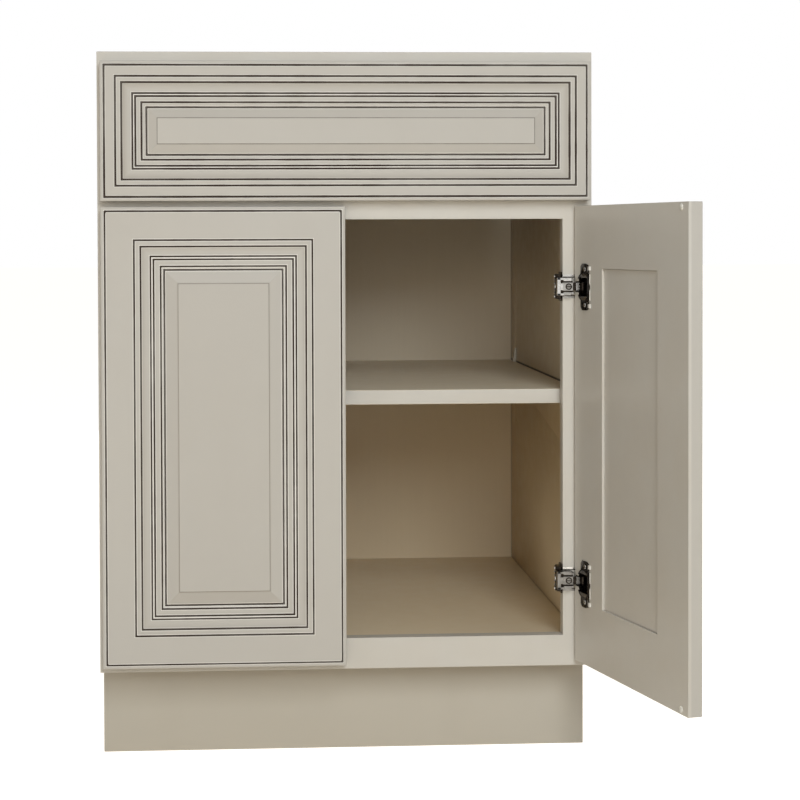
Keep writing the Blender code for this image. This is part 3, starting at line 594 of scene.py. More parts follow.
def drawn(corners, creases, closed=True):
    """Points along a line through corners (inset, depth, radius), with more of them beside the creases."""
    line = []
    for at, (inset, depth, radius) in enumerate(corners):
        here = Vector((inset, depth))
        if not radius:
            line.append(here)
            continue
        before = Vector(corners[at - 1][:2]) - here
        after = Vector(corners[(at + 1) % len(corners)][:2]) - here
        start = here + before.normalized() * min(radius, before.length * ROUND_SHARE)
        end = here + after.normalized() * min(radius, after.length * ROUND_SHARE)
        for turn in range(TURNS + 1):
            t = turn / TURNS
            line.append(start * (1 - t) ** 2 + here * 2 * t * (1 - t) + end * t * t)
    marks = sorted({mark + sign * step for mark, _ in creases for step in BESIDE for sign in (-1, 1)})
    full = []
    for near, far in zip(line, line[1:] + line[:1]):
        full.append(near)
        low, high = sorted((near.x, far.x))
        inside = [mark for mark in marks if low + CLOSE < mark < high - CLOSE]
        if near is line[-1] and not closed:
            inside = []
        for mark in inside if near.x < far.x else reversed(inside):
            full.append(near.lerp(far, (mark - near.x) / (far.x - near.x)))
    return full


def held(point, creases, film):
    """How near a crease is, from 0 to 1, how much glaze it holds, and the film and painted shade at the
    point.
    """
    if point.y > GLAZED_DEPTH:
        return 0.0, 0.0, 0.0
    away, load = min((abs(point.x - mark), load) for mark, load in creases)
    start, end, first, last = film
    share = (point.x - start) / (end - start)
    hollow = first + (last - first) * share if 0 <= share <= 1 else 0.0
    return max(0.0, 1 - away / CREASE_REACH), load, hollow


print(f"sections turn in {TURNS} steps, creases reach {CREASE_REACH / mm:.0f} mm")

# %% [markdown]
# A door is four mitred members round a raised panel. A member's section runs, from the outer edge inwards: a
# low rounded lip, a step up to the wide flat, a step down to a bead, a cove, a thin quirk, a fillet and a
# slope down to the panel. The drawer front has the same steps with other widths. It could have a list of
# corners of its own, but one function draws both from a list of widths.

# %% Draw the moulding's section
LIP, LIP_LOW, LIP_ROUND = 5.1 * mm, 1.6 * mm, 2.0 * mm
WIDTHS = {
    "door": [w * mm for w in (35.2, 7.8, 12.0, 3.7, 8.5, 4.2, 17.0)],
    "drawer": [w * mm for w in (13.5, 7.5, 13.1, 3.6, 7.4, 6.0, 13.1)],
}
BEAD, COVE_TOP, COVE_FOOT, FILLET, SLOPE_TOP = [d * mm for d in (1.0, 1.8, 4.0, 4.8, 5.6)]
TONGUE, TONGUE_LOW, TONGUE_HIGH = 8.5 * mm, 8.5 * mm, 13.5 * mm
TONGUE_PLAY, GROOVE_PLAY = 0.3 * mm, 1.0 * mm
EASE_IN, EASE_UP = 2.16 * mm, 1.93 * mm
CRISP = 0.2 * mm
LOADS = (1.15, 1.02, 1.02, 0.9, 0.95, 0.95, 0.95)
EXTRA_LOAD = {"door": 0.2, "drawer": 0.6}
COVE_FILM = {"door": 0.6, "drawer": 1.0}


def member_section(kind, eased, reach=0.0):
    """A member's closed section, its creases and its film. The reach widens the leg behind the panel."""
    *widths, _ = WIDTHS[kind]
    steps = list(accumulate(widths, initial=LIP))
    _, flat, bead, cove, quirk, fillet, slope = steps
    cove_width, quirk_width = widths[2], widths[3]
    groove = slope - TONGUE - GROOVE_PLAY
    back = [(EASE_IN, FRONT_THICK, 0), (0, FRONT_THICK - EASE_UP, 0)]
    if not eased:
        back.insert(1, (0, FRONT_THICK, 0))
    corners = back + [
        (0, LIP_LOW + LIP_ROUND, 0.6 * mm),
        (0, LIP_LOW, LIP_ROUND),
        (LIP, LIP_LOW, CRISP),
        (LIP, 0, 0.5 * mm),
        (flat, 0, 0.4 * mm),
        (flat, BEAD, CRISP),
        (bead - 1.6 * mm, BEAD - 0.25 * mm, 1.2 * mm),
        (bead, COVE_TOP - 0.5 * mm, 0.3 * mm),
        (bead, COVE_TOP + 0.4 * mm, CRISP),
        (bead + 0.2 * cove_width, COVE_FOOT - 0.95 * mm, 2.0 * mm),
        (bead + 0.6 * cove_width, COVE_FOOT - 0.4 * mm, 3.0 * mm),
        (cove, COVE_FOOT - 0.4 * mm, CRISP),
        (cove, COVE_FOOT, CRISP),
        (cove + 0.25 * quirk_width, COVE_FOOT - 0.7 * mm, 0.8 * mm),
        (quirk - 0.25 * quirk_width, COVE_FOOT - 0.7 * mm, 0.8 * mm),
        (quirk, COVE_FOOT + 0.3 * mm, CRISP),
        (quirk, FILLET, CRISP),
        (fillet, FILLET, 0.4 * mm),
        (fillet, SLOPE_TOP, CRISP),
        (slope, SLOPE_FOOT, 0.3 * mm),
        (slope, TONGUE_LOW - TONGUE_PLAY, 0),
        (groove, TONGUE_LOW - TONGUE_PLAY, 0),
        (groove, TONGUE_HIGH + TONGUE_PLAY, 0),
        (slope + reach, TONGUE_HIGH + TONGUE_PLAY, 0),
        (slope + reach, FRONT_THICK, 0.5 * mm),
    ]
    creases = [(mark, load + EXTRA_LOAD[kind]) for mark, load in zip(steps, LOADS)]
    film = (bead, bead + 0.65 * cove_width, COVE_FILM[kind], 0.0)
    return drawn(corners, creases), creases, film


for kind in WIDTHS:
    section, creases, _ = member_section(kind, False)
    print(f"{kind} section: {len(section)} points, {creases[-1][0] / mm:.1f} mm wide, {len(creases)} creases")

# %% [markdown]
# Members, panels, rings and domes are all made in one way: rings of corners, with faces between them.
# Operators that extrude or spin could make them too, but a corner that is laid one by one can hold its marks
# from the start. These helpers lay the faces, close the ends, and write the three marks, of glaze and of film
# with painted shade, on each new corner, where a float layer of the bmesh becomes an attribute of the mesh.

# %% Lay faces between rings
def skin(shape, rings, closed=False):
    """Faces between rings of corners, each ring joined to the next, and the last to the first if closed."""
    faces = []
    for near, far in zip(rings, rings[1:] + rings[:1] if closed else rings[1:]):
        for at in range(len(near)):
            after = (at + 1) % len(near)
            faces.append(shape.faces.new((near[at], near[after], far[after], far[at])))
    return faces


def capped(shape, rings):
    """A skin over rings with both ends closed, all of it facing outwards."""
    skin(shape, rings)
    shape.faces.new(rings[0])
    shape.faces.new(rings[-1])
    bmesh.ops.recalc_face_normals(shape, faces=shape.faces)
    return shape


def new_marked_shape():
    """A new shape, and the layers that keep what its corners hold of each mark, painted shade included."""
    shape = bmesh.new()
    return shape, [shape.verts.layers.float.new(word) for word in MARK_WORDS]


def marked_corner(shape, layers, point, stains):
    """A new corner of a shape, with what it holds of each mark."""
    corner = shape.verts.new(point)
    for layer, value in zip(layers, stains):
        corner[layer] = value
    return corner


print(f"corners can hold {len(MARK_WORDS)} stains")

# %% [markdown]
# A member is its section repeated along its length, with the ends cut at 45 degrees. A Boolean could cut
# them, but it is enough to start each point of the section as far along as it lies inwards. At a real corner
# the cutter and the sander leave each step a little round, the outermost step most of all. So each end has a
# few rings, and a point's place in them follows an arc of its own radius, from the mitre, at 45 degrees, to
# the straight run, at 90. One function makes rails and stiles: the place says which way run and inset go.

# %% Run the mitred members
RINGS = 4
HAIR = 0.01 * mm
EDGE_CORNER, LIP_CORNER, STEP_CORNER = 0.7 * mm, 2.2 * mm, 0.35 * mm


def corner_radius(inset):
    """How round a step is at the corners: the outer edge a little, the first step most."""
    if abs(inset - LIP) < 1.2 * mm:
        return LIP_CORNER
    return EDGE_CORNER if inset < LIP else STEP_CORNER


def member(kind, length, place, hinge_ends=(), eased=False, reach=0.0, end_reaches=(0.0, 0.0)):
    """A mitred member. The place turns run, inset and depth into a point of the scene. The hinge ends meet
    an eased stile, and the end reaches are those of the members that it meets."""
    section, creases, film = member_section(kind, eased, reach)
    leg = creases[-1][0] - TONGUE
    shape, layers = new_marked_shape()
    rings = []
    for far_end in (False, True):
        for ring in reversed(range(RINGS + 1)) if far_end else range(RINGS + 1):
            angle = math.radians(45 + 45 * ring / RINGS)
            row = []
            for point in section:
                radius = corner_radius(point.x)
                inset = point.x + radius * (1 - math.sin(angle))
                run = point.x + radius * (1 - math.cos(angle)) + HAIR
                if far_end in hinge_ends and point.x < HAIR and point.y > FRONT_THICK - HAIR:
                    run = max(run, EASE_IN + 0.1 * ring * mm)
                if point.x > leg and point.y > TONGUE_HIGH:
                    run = leg + (run - leg) * (TONGUE + end_reaches[far_end]) / (TONGUE + reach)
                at = place(length - run if far_end else run, inset, point.y)
                row.append(marked_corner(shape, layers, at, held(point, creases, film)))
            rings.append(row)
    return capped(shape, rings)


def smooth(name, shape, modifiers=(), sharp=32):
    """A mesh with smooth rounds and crisp corners."""
    mesh = settled(name, shape, modifiers)
    mesh.set_sharp_from_angle(angle=math.radians(sharp))
    return mesh


print(f"members have {RINGS + 1} rings at each mitre")

# %% [markdown]
# The panel inside the members has a raised field, a bevel all round, and a tongue that floats in the
# members' grooves, so that the wood can swell without splitting. Insetting a block's face twice would give
# the field and the bevel, but neither a tongue nor stains, so the panel has a section too. It runs from the
# field down the bevel, round the tongue and along the back.

# %% Draw the panel's section
FIELD, FIELD_STEP, BEVEL_FOOT, PANEL_BACK = 1.9 * mm, 0.7 * mm, 6.2 * mm, FRONT_THICK - 3.0 * mm
PANEL_PLAY, PANEL_ROUND = 0.4 * mm, 0.5 * mm
# The faint line round the field's step is a little glaze and the step's painted shadow.
FIELD_GLAZE_AND_SHADOW = {"door": 0.3, "drawer": 0.47}


def panel_section(kind):
    """A panel's section, open at the field's and the back's middle, its creases and its film."""
    *widths, bevel = WIDTHS[kind]
    inner = LIP + sum(widths)
    edge = inner + PANEL_PLAY
    field = inner + bevel
    corners = [
        (field + 6 * mm, FIELD, 0),
        (field, FIELD, 0.5 * mm),
        (field - 0.15 * mm, FIELD + FIELD_STEP, 0.25 * mm),
        (edge + 0.7 * mm, BEVEL_FOOT, 0.4 * mm),
        (edge, SLOPE_FOOT, CRISP),
        (edge, TONGUE_LOW, 0),
        (inner - TONGUE, TONGUE_LOW, 0),
        (inner - TONGUE, TONGUE_HIGH, 0),
        (edge, TONGUE_HIGH, 0),
        (edge, PANEL_BACK, 0.4 * mm),
        (field, PANEL_BACK, 0),
    ]
    creases = ((inner + 0.2 * mm, 1.0), (field - 0.1 * mm, FIELD_GLAZE_AND_SHADOW[kind]))
    # On the doors the film rises to the field's step as its painted soft shadow; on the drawer it is an even
    # film of glaze.
    film = (inner, field, 0.3, 0.3) if kind == "drawer" else (field - 2.2 * mm, field + 0.3 * mm, 0.0, 0.9)
    return drawn(corners, creases, closed=False), creases, film, inner, field


for kind in WIDTHS:
    print(f"{kind} panel: {len(panel_section(kind)[0])} loops")

# %% [markdown]
# A panel is made of loops, one for each point of its section, with a small round at each corner. It could be
# made of four mitred sides, as the frame is, but a real panel is one board and has no mitres. On the doors a
# thin film of glaze lies over the field, and painted shade darkens the left and lower bevels, which face away
# from the light.

# %% Raise the panels
# Glaze film on the door's field; painted shade on its left and lower bevels, which face away from the light.
FILM_FIELD, SHADE_LEFT, SHADE_BOTTOM = 0.14, 0.22, 0.34


def raised_panel(kind, width, height, place, reaches=(0.0, 0.0)):
    """The panel of a front. The reaches are those of the left and the right member."""
    section, creases, film, inner, field = panel_section(kind)
    shape, layers = new_marked_shape()
    loops = []
    for point in section:
        behind = point.y > TONGUE_HIGH - HAIR and point.x > inner
        loop = []
        for turn in range(4):
            inset = point.x + (reaches[turn in (0, 3)] if behind else 0.0)
            for ring in range(RINGS + 1):
                angle = math.radians(90 * turn + 90 * ring / RINGS)
                x, z = math.cos(angle), math.sin(angle)
                u = (width / 2 - inset - PANEL_ROUND) * (1, -1, -1, 1)[turn] + PANEL_ROUND * x
                v = (height / 2 - point.x - PANEL_ROUND) * (1, 1, -1, -1)[turn] + PANEL_ROUND * z
                near, load, hollow = held(point, creases, film)
                # The door's field takes a film of glaze, and its left and lower bevels take painted shade.
                if kind == "door" and point.y < SLOPE_FOOT:
                    shade_on_bevel = SHADE_LEFT * max(0.0, -x) + SHADE_BOTTOM * max(0.0, -z)
                    hollow += FILM_FIELD if point.x > field - CLOSE else shade_on_bevel
                at = place(u + width / 2, v + height / 2, point.y)
                loop.append(marked_corner(shape, layers, at, (near, load, hollow)))
        loops.append(loop)
    return capped(shape, loops)


print(f"panels have {RINGS + 1} corners at each round")

# %% [markdown]
# A hinge stile is bored for two hinge cups, with a slot from each bore towards the edge for the hinge's
# neck. The faces round a bore could be laid by hand, but a Boolean modifier cuts such a keyhole at once. The
# tool that cuts it is made here. The right door's places are the left one's mirror image, turned open about
# the hinge line.

# %% Make the boring tool
CUP_RADIUS, CUP_EDGE = 17.5 * mm, 11.3 * mm
CUP_PLAY = 0.3 * mm
CUP_FLOOR = FRONT_THICK - 12.1 * mm
SLOT_HALF, SLOT_END = 6.8 * mm, 25.5 * mm
HINGE_INSET = 99.5 * mm
BORE_SIDES = 60
door_low, door_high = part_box("left_door_hinge_stile")[0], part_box("left_door_lock_stile")[1]
DOOR_WIDTH, DOOR_HEIGHT = door_high.x - door_low.x, door_high.z - door_low.z
opened = Matrix.Translation(PIVOT) @ Matrix.Rotation(OPEN_ANGLE, 4, "Z") @ Matrix.Translation(-PIVOT)


def place_on(left, bottom, turn=None):
    """A function from a front's own width, height and depth to the scene."""
    def place(across, up, depth):
        point = Vector((left + across, FRONT_FACE + depth, bottom + up))
        return turn @ point if turn else point
    return place


def boring_tool(place, hinge_side):
    """Two keyholes that cut the hinge cups' bores, each with its slot towards the hinge edge."""
    shape = bmesh.new()
    radius = CUP_RADIUS + CUP_PLAY
    mouth = math.asin(SLOT_HALF / radius)
    turns = [mouth + (math.tau - 2 * mouth) * step / BORE_SIDES for step in range(BORE_SIDES + 1)]
    outline = [(radius * math.cos(a), radius * math.sin(a)) for a in turns]
    outline += [(SLOT_END, -SLOT_HALF), (SLOT_END, SLOT_HALF)]
    insets = [(CUP_EDGE + CUP_RADIUS - x, z) for x, z in outline]
    sides = [(i if hinge_side == "left" else DOOR_WIDTH - i, z) for i, z in insets]
    for up in (HINGE_INSET, DOOR_HEIGHT - HINGE_INSET):
        rims = []
        for depth in (CUP_FLOOR, FRONT_THICK + 2 * mm):
            rims.append([shape.verts.new(place(across, up + z, depth)) for across, z in sides])
        capped(shape, rims)
    return in_scene("boring_tool", mesh_of("boring_tool", shape))


print(f"bores {2 * CUP_RADIUS / mm:.0f} mm across, {HINGE_INSET / mm:.1f} mm from a door's ends")

# %% [markdown]
# Three fronts are made of these members and panels: two doors and the drawer's. The right door could be a
# mirrored copy of the left one, but a mirror turns faces inside out, so it is built in its own place. The
# recess on a door's back lies a little towards the lock side, as the reaches of the two stiles say.

# %% Lay out the fronts
REACHES = {"hinge_stile": 3.5 * mm, "lock_stile": -2.4 * mm}
STILES = {
    "left": ("hinge_stile", "lock_stile"),
    "right": ("lock_stile", "hinge_stile"),
    None: ("left_stile", "right_stile"),
}
HINGE_ENDS = {"left": (False,), "right": (True,), None: ()}
drawer_low, drawer_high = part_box("drawer_front_left_stile")[0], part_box("drawer_front_right_stile")[1]
DRAWER_WIDTH, DRAWER_HEIGHT = drawer_high.x - drawer_low.x, drawer_high.z - drawer_low.z
left_place = place_on(door_low.x, door_low.z)
right_place = place_on(-door_high.x, door_low.z, opened)
drawer_place = place_on(drawer_low.x, drawer_low.z)
fronts = {
    "left_door": ("door", left_place, DOOR_WIDTH, DOOR_HEIGHT, "left"),
    "right_door": ("door", right_place, DOOR_WIDTH, DOOR_HEIGHT, "right"),
    "drawer_front": ("drawer", drawer_place, DRAWER_WIDTH, DRAWER_HEIGHT, None),
}
print(f"a door is {DOOR_WIDTH / mm:.1f} mm wide, the drawer front {DRAWER_WIDTH / mm:.1f} mm")

# %% [markdown]
# Now each front gets its four members and its panel. The members could be joined into one mesh, but each
# stands for a solid of its own and its mitres show as fine lines, so they stay apart. On the doors, the
# hinge stile's back edge is eased so that it clears the face frame as the door swings, and its bores are
# cut.

# %% Put the fronts together
def member_places(place, width, height):
    """Where run, inset and depth lie for the left stile, right stile, top rail and bottom rail."""
    return (
        lambda run, inset, depth: place(inset, run, depth),
        lambda run, inset, depth: place(width - inset, run, depth),
        lambda run, inset, depth: place(run, height - inset, depth),
        lambda run, inset, depth: place(run, inset, depth),
    )


def bored(node, shape, place, hinge_side):
    """A hinge stile with its bores cut, and the many-sided faces round them split."""
    tool = boring_tool(place, hinge_side)
    cut = ("BOOLEAN", {"operation": "DIFFERENCE", "object": tool})
    split = ("TRIANGULATE", {"ngon_method": "BEAUTY", "min_vertices": 5})
    mesh = smooth(node, shape, [cut, split])
    bpy.data.objects.remove(tool)
    return mesh


for front, (kind, place, width, height, hinge_side) in fronts.items():
    body = "drawer" if hinge_side is None else front
    names = (*STILES[hinge_side], "top_rail", "bottom_rail")
    reaches = [REACHES.get(name, 0.0) for name in names[:2]]
    for name, length, way in zip(names, (height, height, width, width), member_places(place, width, height)):
        node = f"{front}_{name}"
        if name.endswith("rail"):
            mesh = smooth(node, member(kind, length, way, HINGE_ENDS[hinge_side], end_reaches=reaches))
        else:
            shape = member(kind, length, way, eased=name == "hinge_stile", reach=REACHES.get(name, 0.0))
            mesh = bored(node, shape, place, hinge_side) if name == "hinge_stile" else smooth(node, shape)
        hang(f"{node}_moulded", mesh, [greige], body, "painted_wood", node)
    panel = smooth(f"{front}_panel", raised_panel(kind, width, height, place, reaches))
    hang(f"{front}_panel_raised", panel, [greige], body, "painted_wood", f"{front}_panel")
    print(f"{front}: four members and a panel, {width / mm:.1f} x {height / mm:.1f} mm")

# %% [markdown]
# The hinges are pressed from steel and plated with nickel. Part of their light is painted in their tones:
# bright nickel on the arm's walls, a darker satin nickel that paints shade on its middle and lower parts,
# duller nickel on the lower hinges, and a nearly black nickel that paints shade and dark reflections in
# the cups, slots and frame plates. The slides are zinc plated. A flat tone would do from afar, but close up
# plating shows its wear, so all of them share one tree in which fine scratches change the colour and the
# roughness. A few small pale tabs and a pale edge beside the cups paint highlights.

# %% Plate the steel
SCRATCH_DEPTH = 0.02 * mm
PALE_TAB_GRAIN = 0.03 * mm


def plated(name, pale, deep, smoothest, roughest, streaks=(1.0, 1.0, 1.0)):
    """Plated steel between two tones and two roughnesses."""
    finish = Finish(name, Metallic=1.0)
    wear = finish.clouds(180.0, detail=3.0, stretch=streaks)
    roughness = finish.clouds(400.0, smoothest, roughest, stretch=streaks)
    scratches = finish.noise(900.0, stretch=streaks)
    return finish.surface(finish.mix(wear, pale, deep), roughness, scratches, SCRATCH_DEPTH)


def white_nylon():
    """Pale plastic with a faint grain, for the tabs and the edge that paint highlights beside the cups' ears.
    """
    finish = Finish("white_nylon", IOR=1.5)
    roughness = finish.clouds(300.0, 0.3, 0.45)
    return finish.surface(srgb(224, 219, 210), roughness, finish.noise(600.0, 1.0), PALE_TAB_GRAIN)


nickel = plated("bright_nickel", srgb(216, 214, 210), srgb(196, 194, 190), 0.16, 0.28)
dark_shade_nickel = plated("smoked_nickel", srgb(64, 58, 52), srgb(46, 42, 38), 0.22, 0.36)
satin_shade_nickel = plated("satin_nickel", srgb(186, 184, 180), srgb(160, 158, 154), 0.26, 0.4)
dull = plated("dull_nickel", srgb(150, 147, 143), srgb(128, 125, 121), 0.3, 0.44)
zinc = plated("zinc_plate", srgb(188, 190, 192), srgb(166, 169, 172), 0.30, 0.42, (1.0, 0.05, 1.0))
pale_tab = white_nylon()
print(nickel.name, dark_shade_nickel.name, satin_shade_nickel.name, dull.name, zinc.name, pale_tab.name)

# %% [markdown]
# A hinge is a handful of small pressings: boxes, flat plates and rings. A sheet could be folded into each of
# them, as a press does, but at this size only the outside shows, so blocks are enough. A box is given by two
# corners and a plate by its outline, as a maker would measure them, in millimetres from the hinge's own
# middle, and a function takes them to the scene. Each carries the number of its finish.

# %% Press boxes and plates
BRIGHT, DARK, SATIN_SHADE, WHITE = 0, 1, 2, 3
# The upper hinges use bright nickel with satin shade, the lower ones duller nickel; both paint shade with the
# nearly black nickel.
HINGE_TONES = {"upper": [nickel, dark_shade_nickel, satin_shade_nickel, pale_tab], "lower": [dull, dark_shade_nickel, dull, pale_tab]}


def face_out(faces, finish):
    """The faces of one block or plate, turned outwards and given their finish."""
    corners = {corner for face in faces for corner in face.verts}
    middle = sum((corner.co for corner in corners), Vector()) / len(corners)
    for face in faces:
        face.normal_update()
        if (face.calc_center_median() - middle).dot(face.normal) < 0:
            face.normal_flip()
        face.material_index = finish


def blocks(parts, to_scene):
    """One shape of boxes, each (low corner, high corner, finish), placed by a function."""
    shape = bmesh.new()
    for low, high, finish in parts:
        made = bmesh.ops.create_cube(shape, size=1.0)["verts"]
        for corner in made:
            corner.co = to_scene(*[mm * (b if part > 0 else a) for a, b, part in zip(low, high, corner.co)])
        face_out({face for corner in made for face in corner.link_faces}, finish)
    return shape


def plates(shape, parts, to_scene):
    """Flat plates added to a shape, each (outline of across and up, lowest and highest off, finish)."""
    for outline, offs, finish in parts:
        rims = [[shape.verts.new(to_scene(x * mm, off * mm, z * mm)) for x, z in outline] for off in offs]
        caps = [shape.faces.new(rim) for rim in rims]
        face_out(caps + skin(shape, rims), finish)
    return shape


print(f"hinges have {len(HINGE_TONES)} states of wear")

# %% [markdown]
# The ears of a cup's plate are rounded oblongs, and the eye of the pin and the ring round the cam are short
# tubes. Blender's own circle and cylinder could be bent into them, but both come from one round of cosines
# and sines, which the bumpers need later as well.

# %% Turn ovals and rings
SIDES = 28


def around(sides=SIDES):
    """The cosine and sine of even steps round a circle."""
    return [(math.cos(math.tau * step / sides), math.sin(math.tau * step / sides)) for step in range(sides)]


def squared(part):
    """A cosine or sine pushed out, so that a circle becomes a rounded oblong."""
    return math.copysign(abs(part) ** 0.75, part)


def oval(across, up, half_across, half_up):
    """The outline of a rounded oblong."""
    return [(across + half_across * squared(x), up + half_up * squared(z)) for x, z in around()]


def tube(shape, middle, inner, outer, half, finish, turn=Matrix.Identity(3)):
    """A ring of metal, upright or turned, added to a shape."""
    loops = []
    for radius, up in ((inner, -half), (outer, -half), (outer, half), (inner, half)):
        spots = [middle + turn @ Vector((radius * x, radius * y, up)) for x, y in around()]
        loops.append([shape.verts.new(spot) for spot in spots])
    faces = skin(shape, loops, closed=True)
    for face in faces:
        face.material_index = finish
    bmesh.ops.recalc_face_normals(shape, faces=faces)


print(f"rings have {SIDES} sides")

# %% [markdown]
# A hinge arm is folded from sheet into a small box that stands on the stile's face, with a raised middle,
# two slots beside it, and a neck that bends towards the door. Its frame plate goes round to the stile's
# inner edge. The solid has the main form of both. It could be rounded as the boards are, but the seats,
# rivets and slots would be missing, so the arm is made of blocks. They are measured across from the
# doorway's edge, out from the frame's face, and up from the hinge's middle.

# %% Measure the hinge arm
ARM_BLOCKS = [
    # Dark blocks paint shade: the slots' floor, the cam's slot, the frame plate and the screw seats.
    ((-8.0, 0.4, -10.2), (11.3, 7.0, 10.2), DARK),  # the slots' floor
    ((-8.6, 0.3, -10.8), (-4.5, 11.2, 10.8), BRIGHT),  # the wall at the doorway
    ((-4.9, 0.3, -4.2), (-1.1, 11.1, 4.2), BRIGHT),  # the raised middle's foot
    ((-1.5, 0.3, -4.9), (10.9, 11.6, 4.9), SATIN_SHADE),  # the raised middle
    ((2.9, 11.9, -0.55), (7.9, 12.42, 0.55), DARK),  # the slot of the cam
    ((-2.3, -18.0, -18.0), (-0.3, -1.0, 18.0), DARK),  # the frame plate, and two steps on it
    ((-7.0, -16.5, -9.5), (-0.3, 0.9, 9.5), DARK),
    ((-7.0, -16.5, -15.5), (-0.3, -1.0, 15.5), DARK),
    ((-8.2, -10.0, -3.4), (-6.6, -4.0, 3.4), DARK),  # the seat of the plate's middle screw
    # The neck's dark ends paint shade, and its bright middle a highlight.
    ((11.1, 9.8, -4.9), (15.0, 11.2, 4.9), DARK),  # the neck, in three lengths
    ((14.6, 9.8, -4.9), (19.1, 11.2, 4.9), BRIGHT),
    ((18.7, 9.9, -4.7), (21.9, 11.1, 4.7), DARK),
]
for up in (1, -1):
    ARM_BLOCKS += [
        # The lower side wall is in satin shade.
        ((-8.5, 0.3, up * 8.3), (-0.5, 11.2, up * 10.8), BRIGHT),  # a side wall, in three lengths
        ((-0.9, 0.3, up * 6.9), (9.1, 11.2, up * 10.8), BRIGHT if up > 0 else SATIN_SHADE),
        ((8.7, 0.3, up * 6.9), (12.1, 11.0, up * 9.3), SATIN_SHADE),
        ((-8.8, -13.0, up * 10.2), (-6.6, -3.2, up * 14.9), DARK),  # the seat of an outer screw
    ]
RIVETS = (-8.0, -3.4, 3.6, 8.2)
ARM_BLOCKS += [((-9.6, -9.4, up - 0.8), (-8.0, -7.6, up + 0.8), BRIGHT) for up in RIVETS]
# The wrap plate: its lower half in satin shade, and thin dark strips that paint the shadow line along the
# box.
WRAP_BLOCKS = [
    ((0.1, 0.02, 12.1), (15.4, 0.42, 14.8), BRIGHT),
    ((0.1, 0.02, -14.8), (15.4, 0.42, -12.1), SATIN_SHADE),
    ((0.1, 0.02, 10.9), (15.4, 0.25, 12.2), DARK),
    ((0.1, 0.02, -12.2), (15.4, 0.25, -10.9), DARK),
]
print(f"a hinge arm has {len(ARM_BLOCKS)} blocks")

# %% [markdown]
# The arm's box shines, and the slots' floor, the frame plate and the ring round the cam are painted dark as
# shade. Four arms could be mirrored from one, but a mirror turns faces inside out, so the same blocks are
# pressed at each hinge. The eye round the pin and the ring round the cam are added to the arm before its
# edges are rounded.

# %% Press the hinge arms
CAM_ACROSS, CAM_OUT = 5.4 * mm, 11.7 * mm
EYE = [size * mm for size in (1.5, 2.4, 5.0)]
CAM_RING = [size * mm for size in (2.6, 4.1, 0.3)]
HINGE_LEVELS = {"upper": door_high.z - HINGE_INSET, "lower": door_low.z + HINGE_INSET}
SWINGS = {"left_door": -1, "right_door": 1}
HINGES = [(door, side, level, z) for door, side in SWINGS.items() for level, z in HINGE_LEVELS.items()]
FACE_FORWARD = Matrix.Rotation(math.pi / 2, 3, "X")


def at_stile(side, z):
    """A function from across, out and up, in metres, to the scene."""
    return lambda across, out, up: Vector((side * (OPENING + across), FRAME_FRONT - out, z + up))


for door, side, level, z in HINGES:
    stem = f"{door}_{level}_hinge"
    stile = at_stile(side, z)
    shape = blocks(ARM_BLOCKS, stile)
    # The eye and the ring round the cam are painted dark as shade.
    tube(shape, Vector((side * PIVOT.x, PIVOT.y, z)), *EYE, DARK)
    tube(shape, stile(CAM_ACROSS, CAM_OUT, 0.0), *CAM_RING, DARK, FACE_FORWARD)
    arm = rounded(f"{stem}_arm", shape, 0.35 * mm)
    hang(f"{stem}_arm_pressed", arm, HINGE_TONES[level][:3], "carcass", "nickel_steel", f"{stem}_arm")
    wrap = rounded(f"{stem}_wrap", blocks(WRAP_BLOCKS, stile), 0.08 * mm)
    hang(f"{stem}_wrap_plate", wrap, [nickel, dark_shade_nickel, HINGE_TONES[level][SATIN_SHADE]], "carcass", "nickel_steel")
print(f"{len(HINGES)} arms of {len(ARM_BLOCKS)} blocks")

# %% [markdown]
# The other half of a hinge is the cup in the door. It could be spun anew from a profile, but its solid has
# the right bowl, flange and cuts, so only its edges are rounded. A squared plate lies over the flange on the
# side away from the edge, with an oval ear at each end and a pale tab beside each ear. The cup's nearly black
# nickel, the plate's dark strip and the dark rims of the ears paint shade and dark reflections, and the pale
# tabs, the strip's pale edge and the lighter caps paint highlights and reflections. The right door stands
# open, so its plates are turned with it.

# %% Set the hinge cups
CUP_X = abs(door_low.x) - CUP_EDGE - CUP_RADIUS
EAR_ACROSS, EAR_UP = -4.6, 21.8
SHOULDER = [(-17.0, 16.6), (4.0, 16.6), (9.5, 13.8), (12.4, 11.4), (-17.0, 11.4)]
SHOULDER_FACE = [(-12.2, 16.1), (3.6, 16.1), (8.6, 13.6), (10.6, 11.8), (-12.2, 11.8)]
EAR_BLOCKS = [
    # The dark upright strip paints the shadow of the cup's inside.
    ((-17.2, 0.05, -16.7), (-12.4, 1.7, 16.7), DARK),  # the plate's upright strip, and its pale edge
    # Its pale edge paints a highlight.
    ((-17.7, 0.05, -16.4), (-17.1, 0.85, 16.4), WHITE),
]
EAR_PLATES = []
for up in (1, -1):
    # Each pale tab paints the highlight beside an ear.
    EAR_BLOCKS.append(((-19.4, 0.05, up * 20.6), (-15.4, 1.9, up * 25.4), WHITE))
    # The shoulders and ears have dark rims, painted shade, round lighter faces that paint reflections.
    EAR_PLATES += [
        ([(x, up * z) for x, z in SHOULDER], (0.05, 1.1), DARK),
        ([(x, up * z) for x, z in SHOULDER_FACE], (1.0, 1.35), BRIGHT),
        (oval(EAR_ACROSS, up * EAR_UP, 10.8, 6.6), (0.05, 1.1), DARK),
        (oval(EAR_ACROSS, up * EAR_UP, 8.8, 5.0), (1.0, 1.3), SATIN_SHADE),
    ]


def at_cup(side, z):
    """A function from across (towards the hinge edge), off the door's back, and up, to the scene."""
    def place(across, off, up):
        point = Vector((side * (CUP_X + across), FRONT_BACK + off, z + up))
        return opened @ point if side > 0 else point
    return place


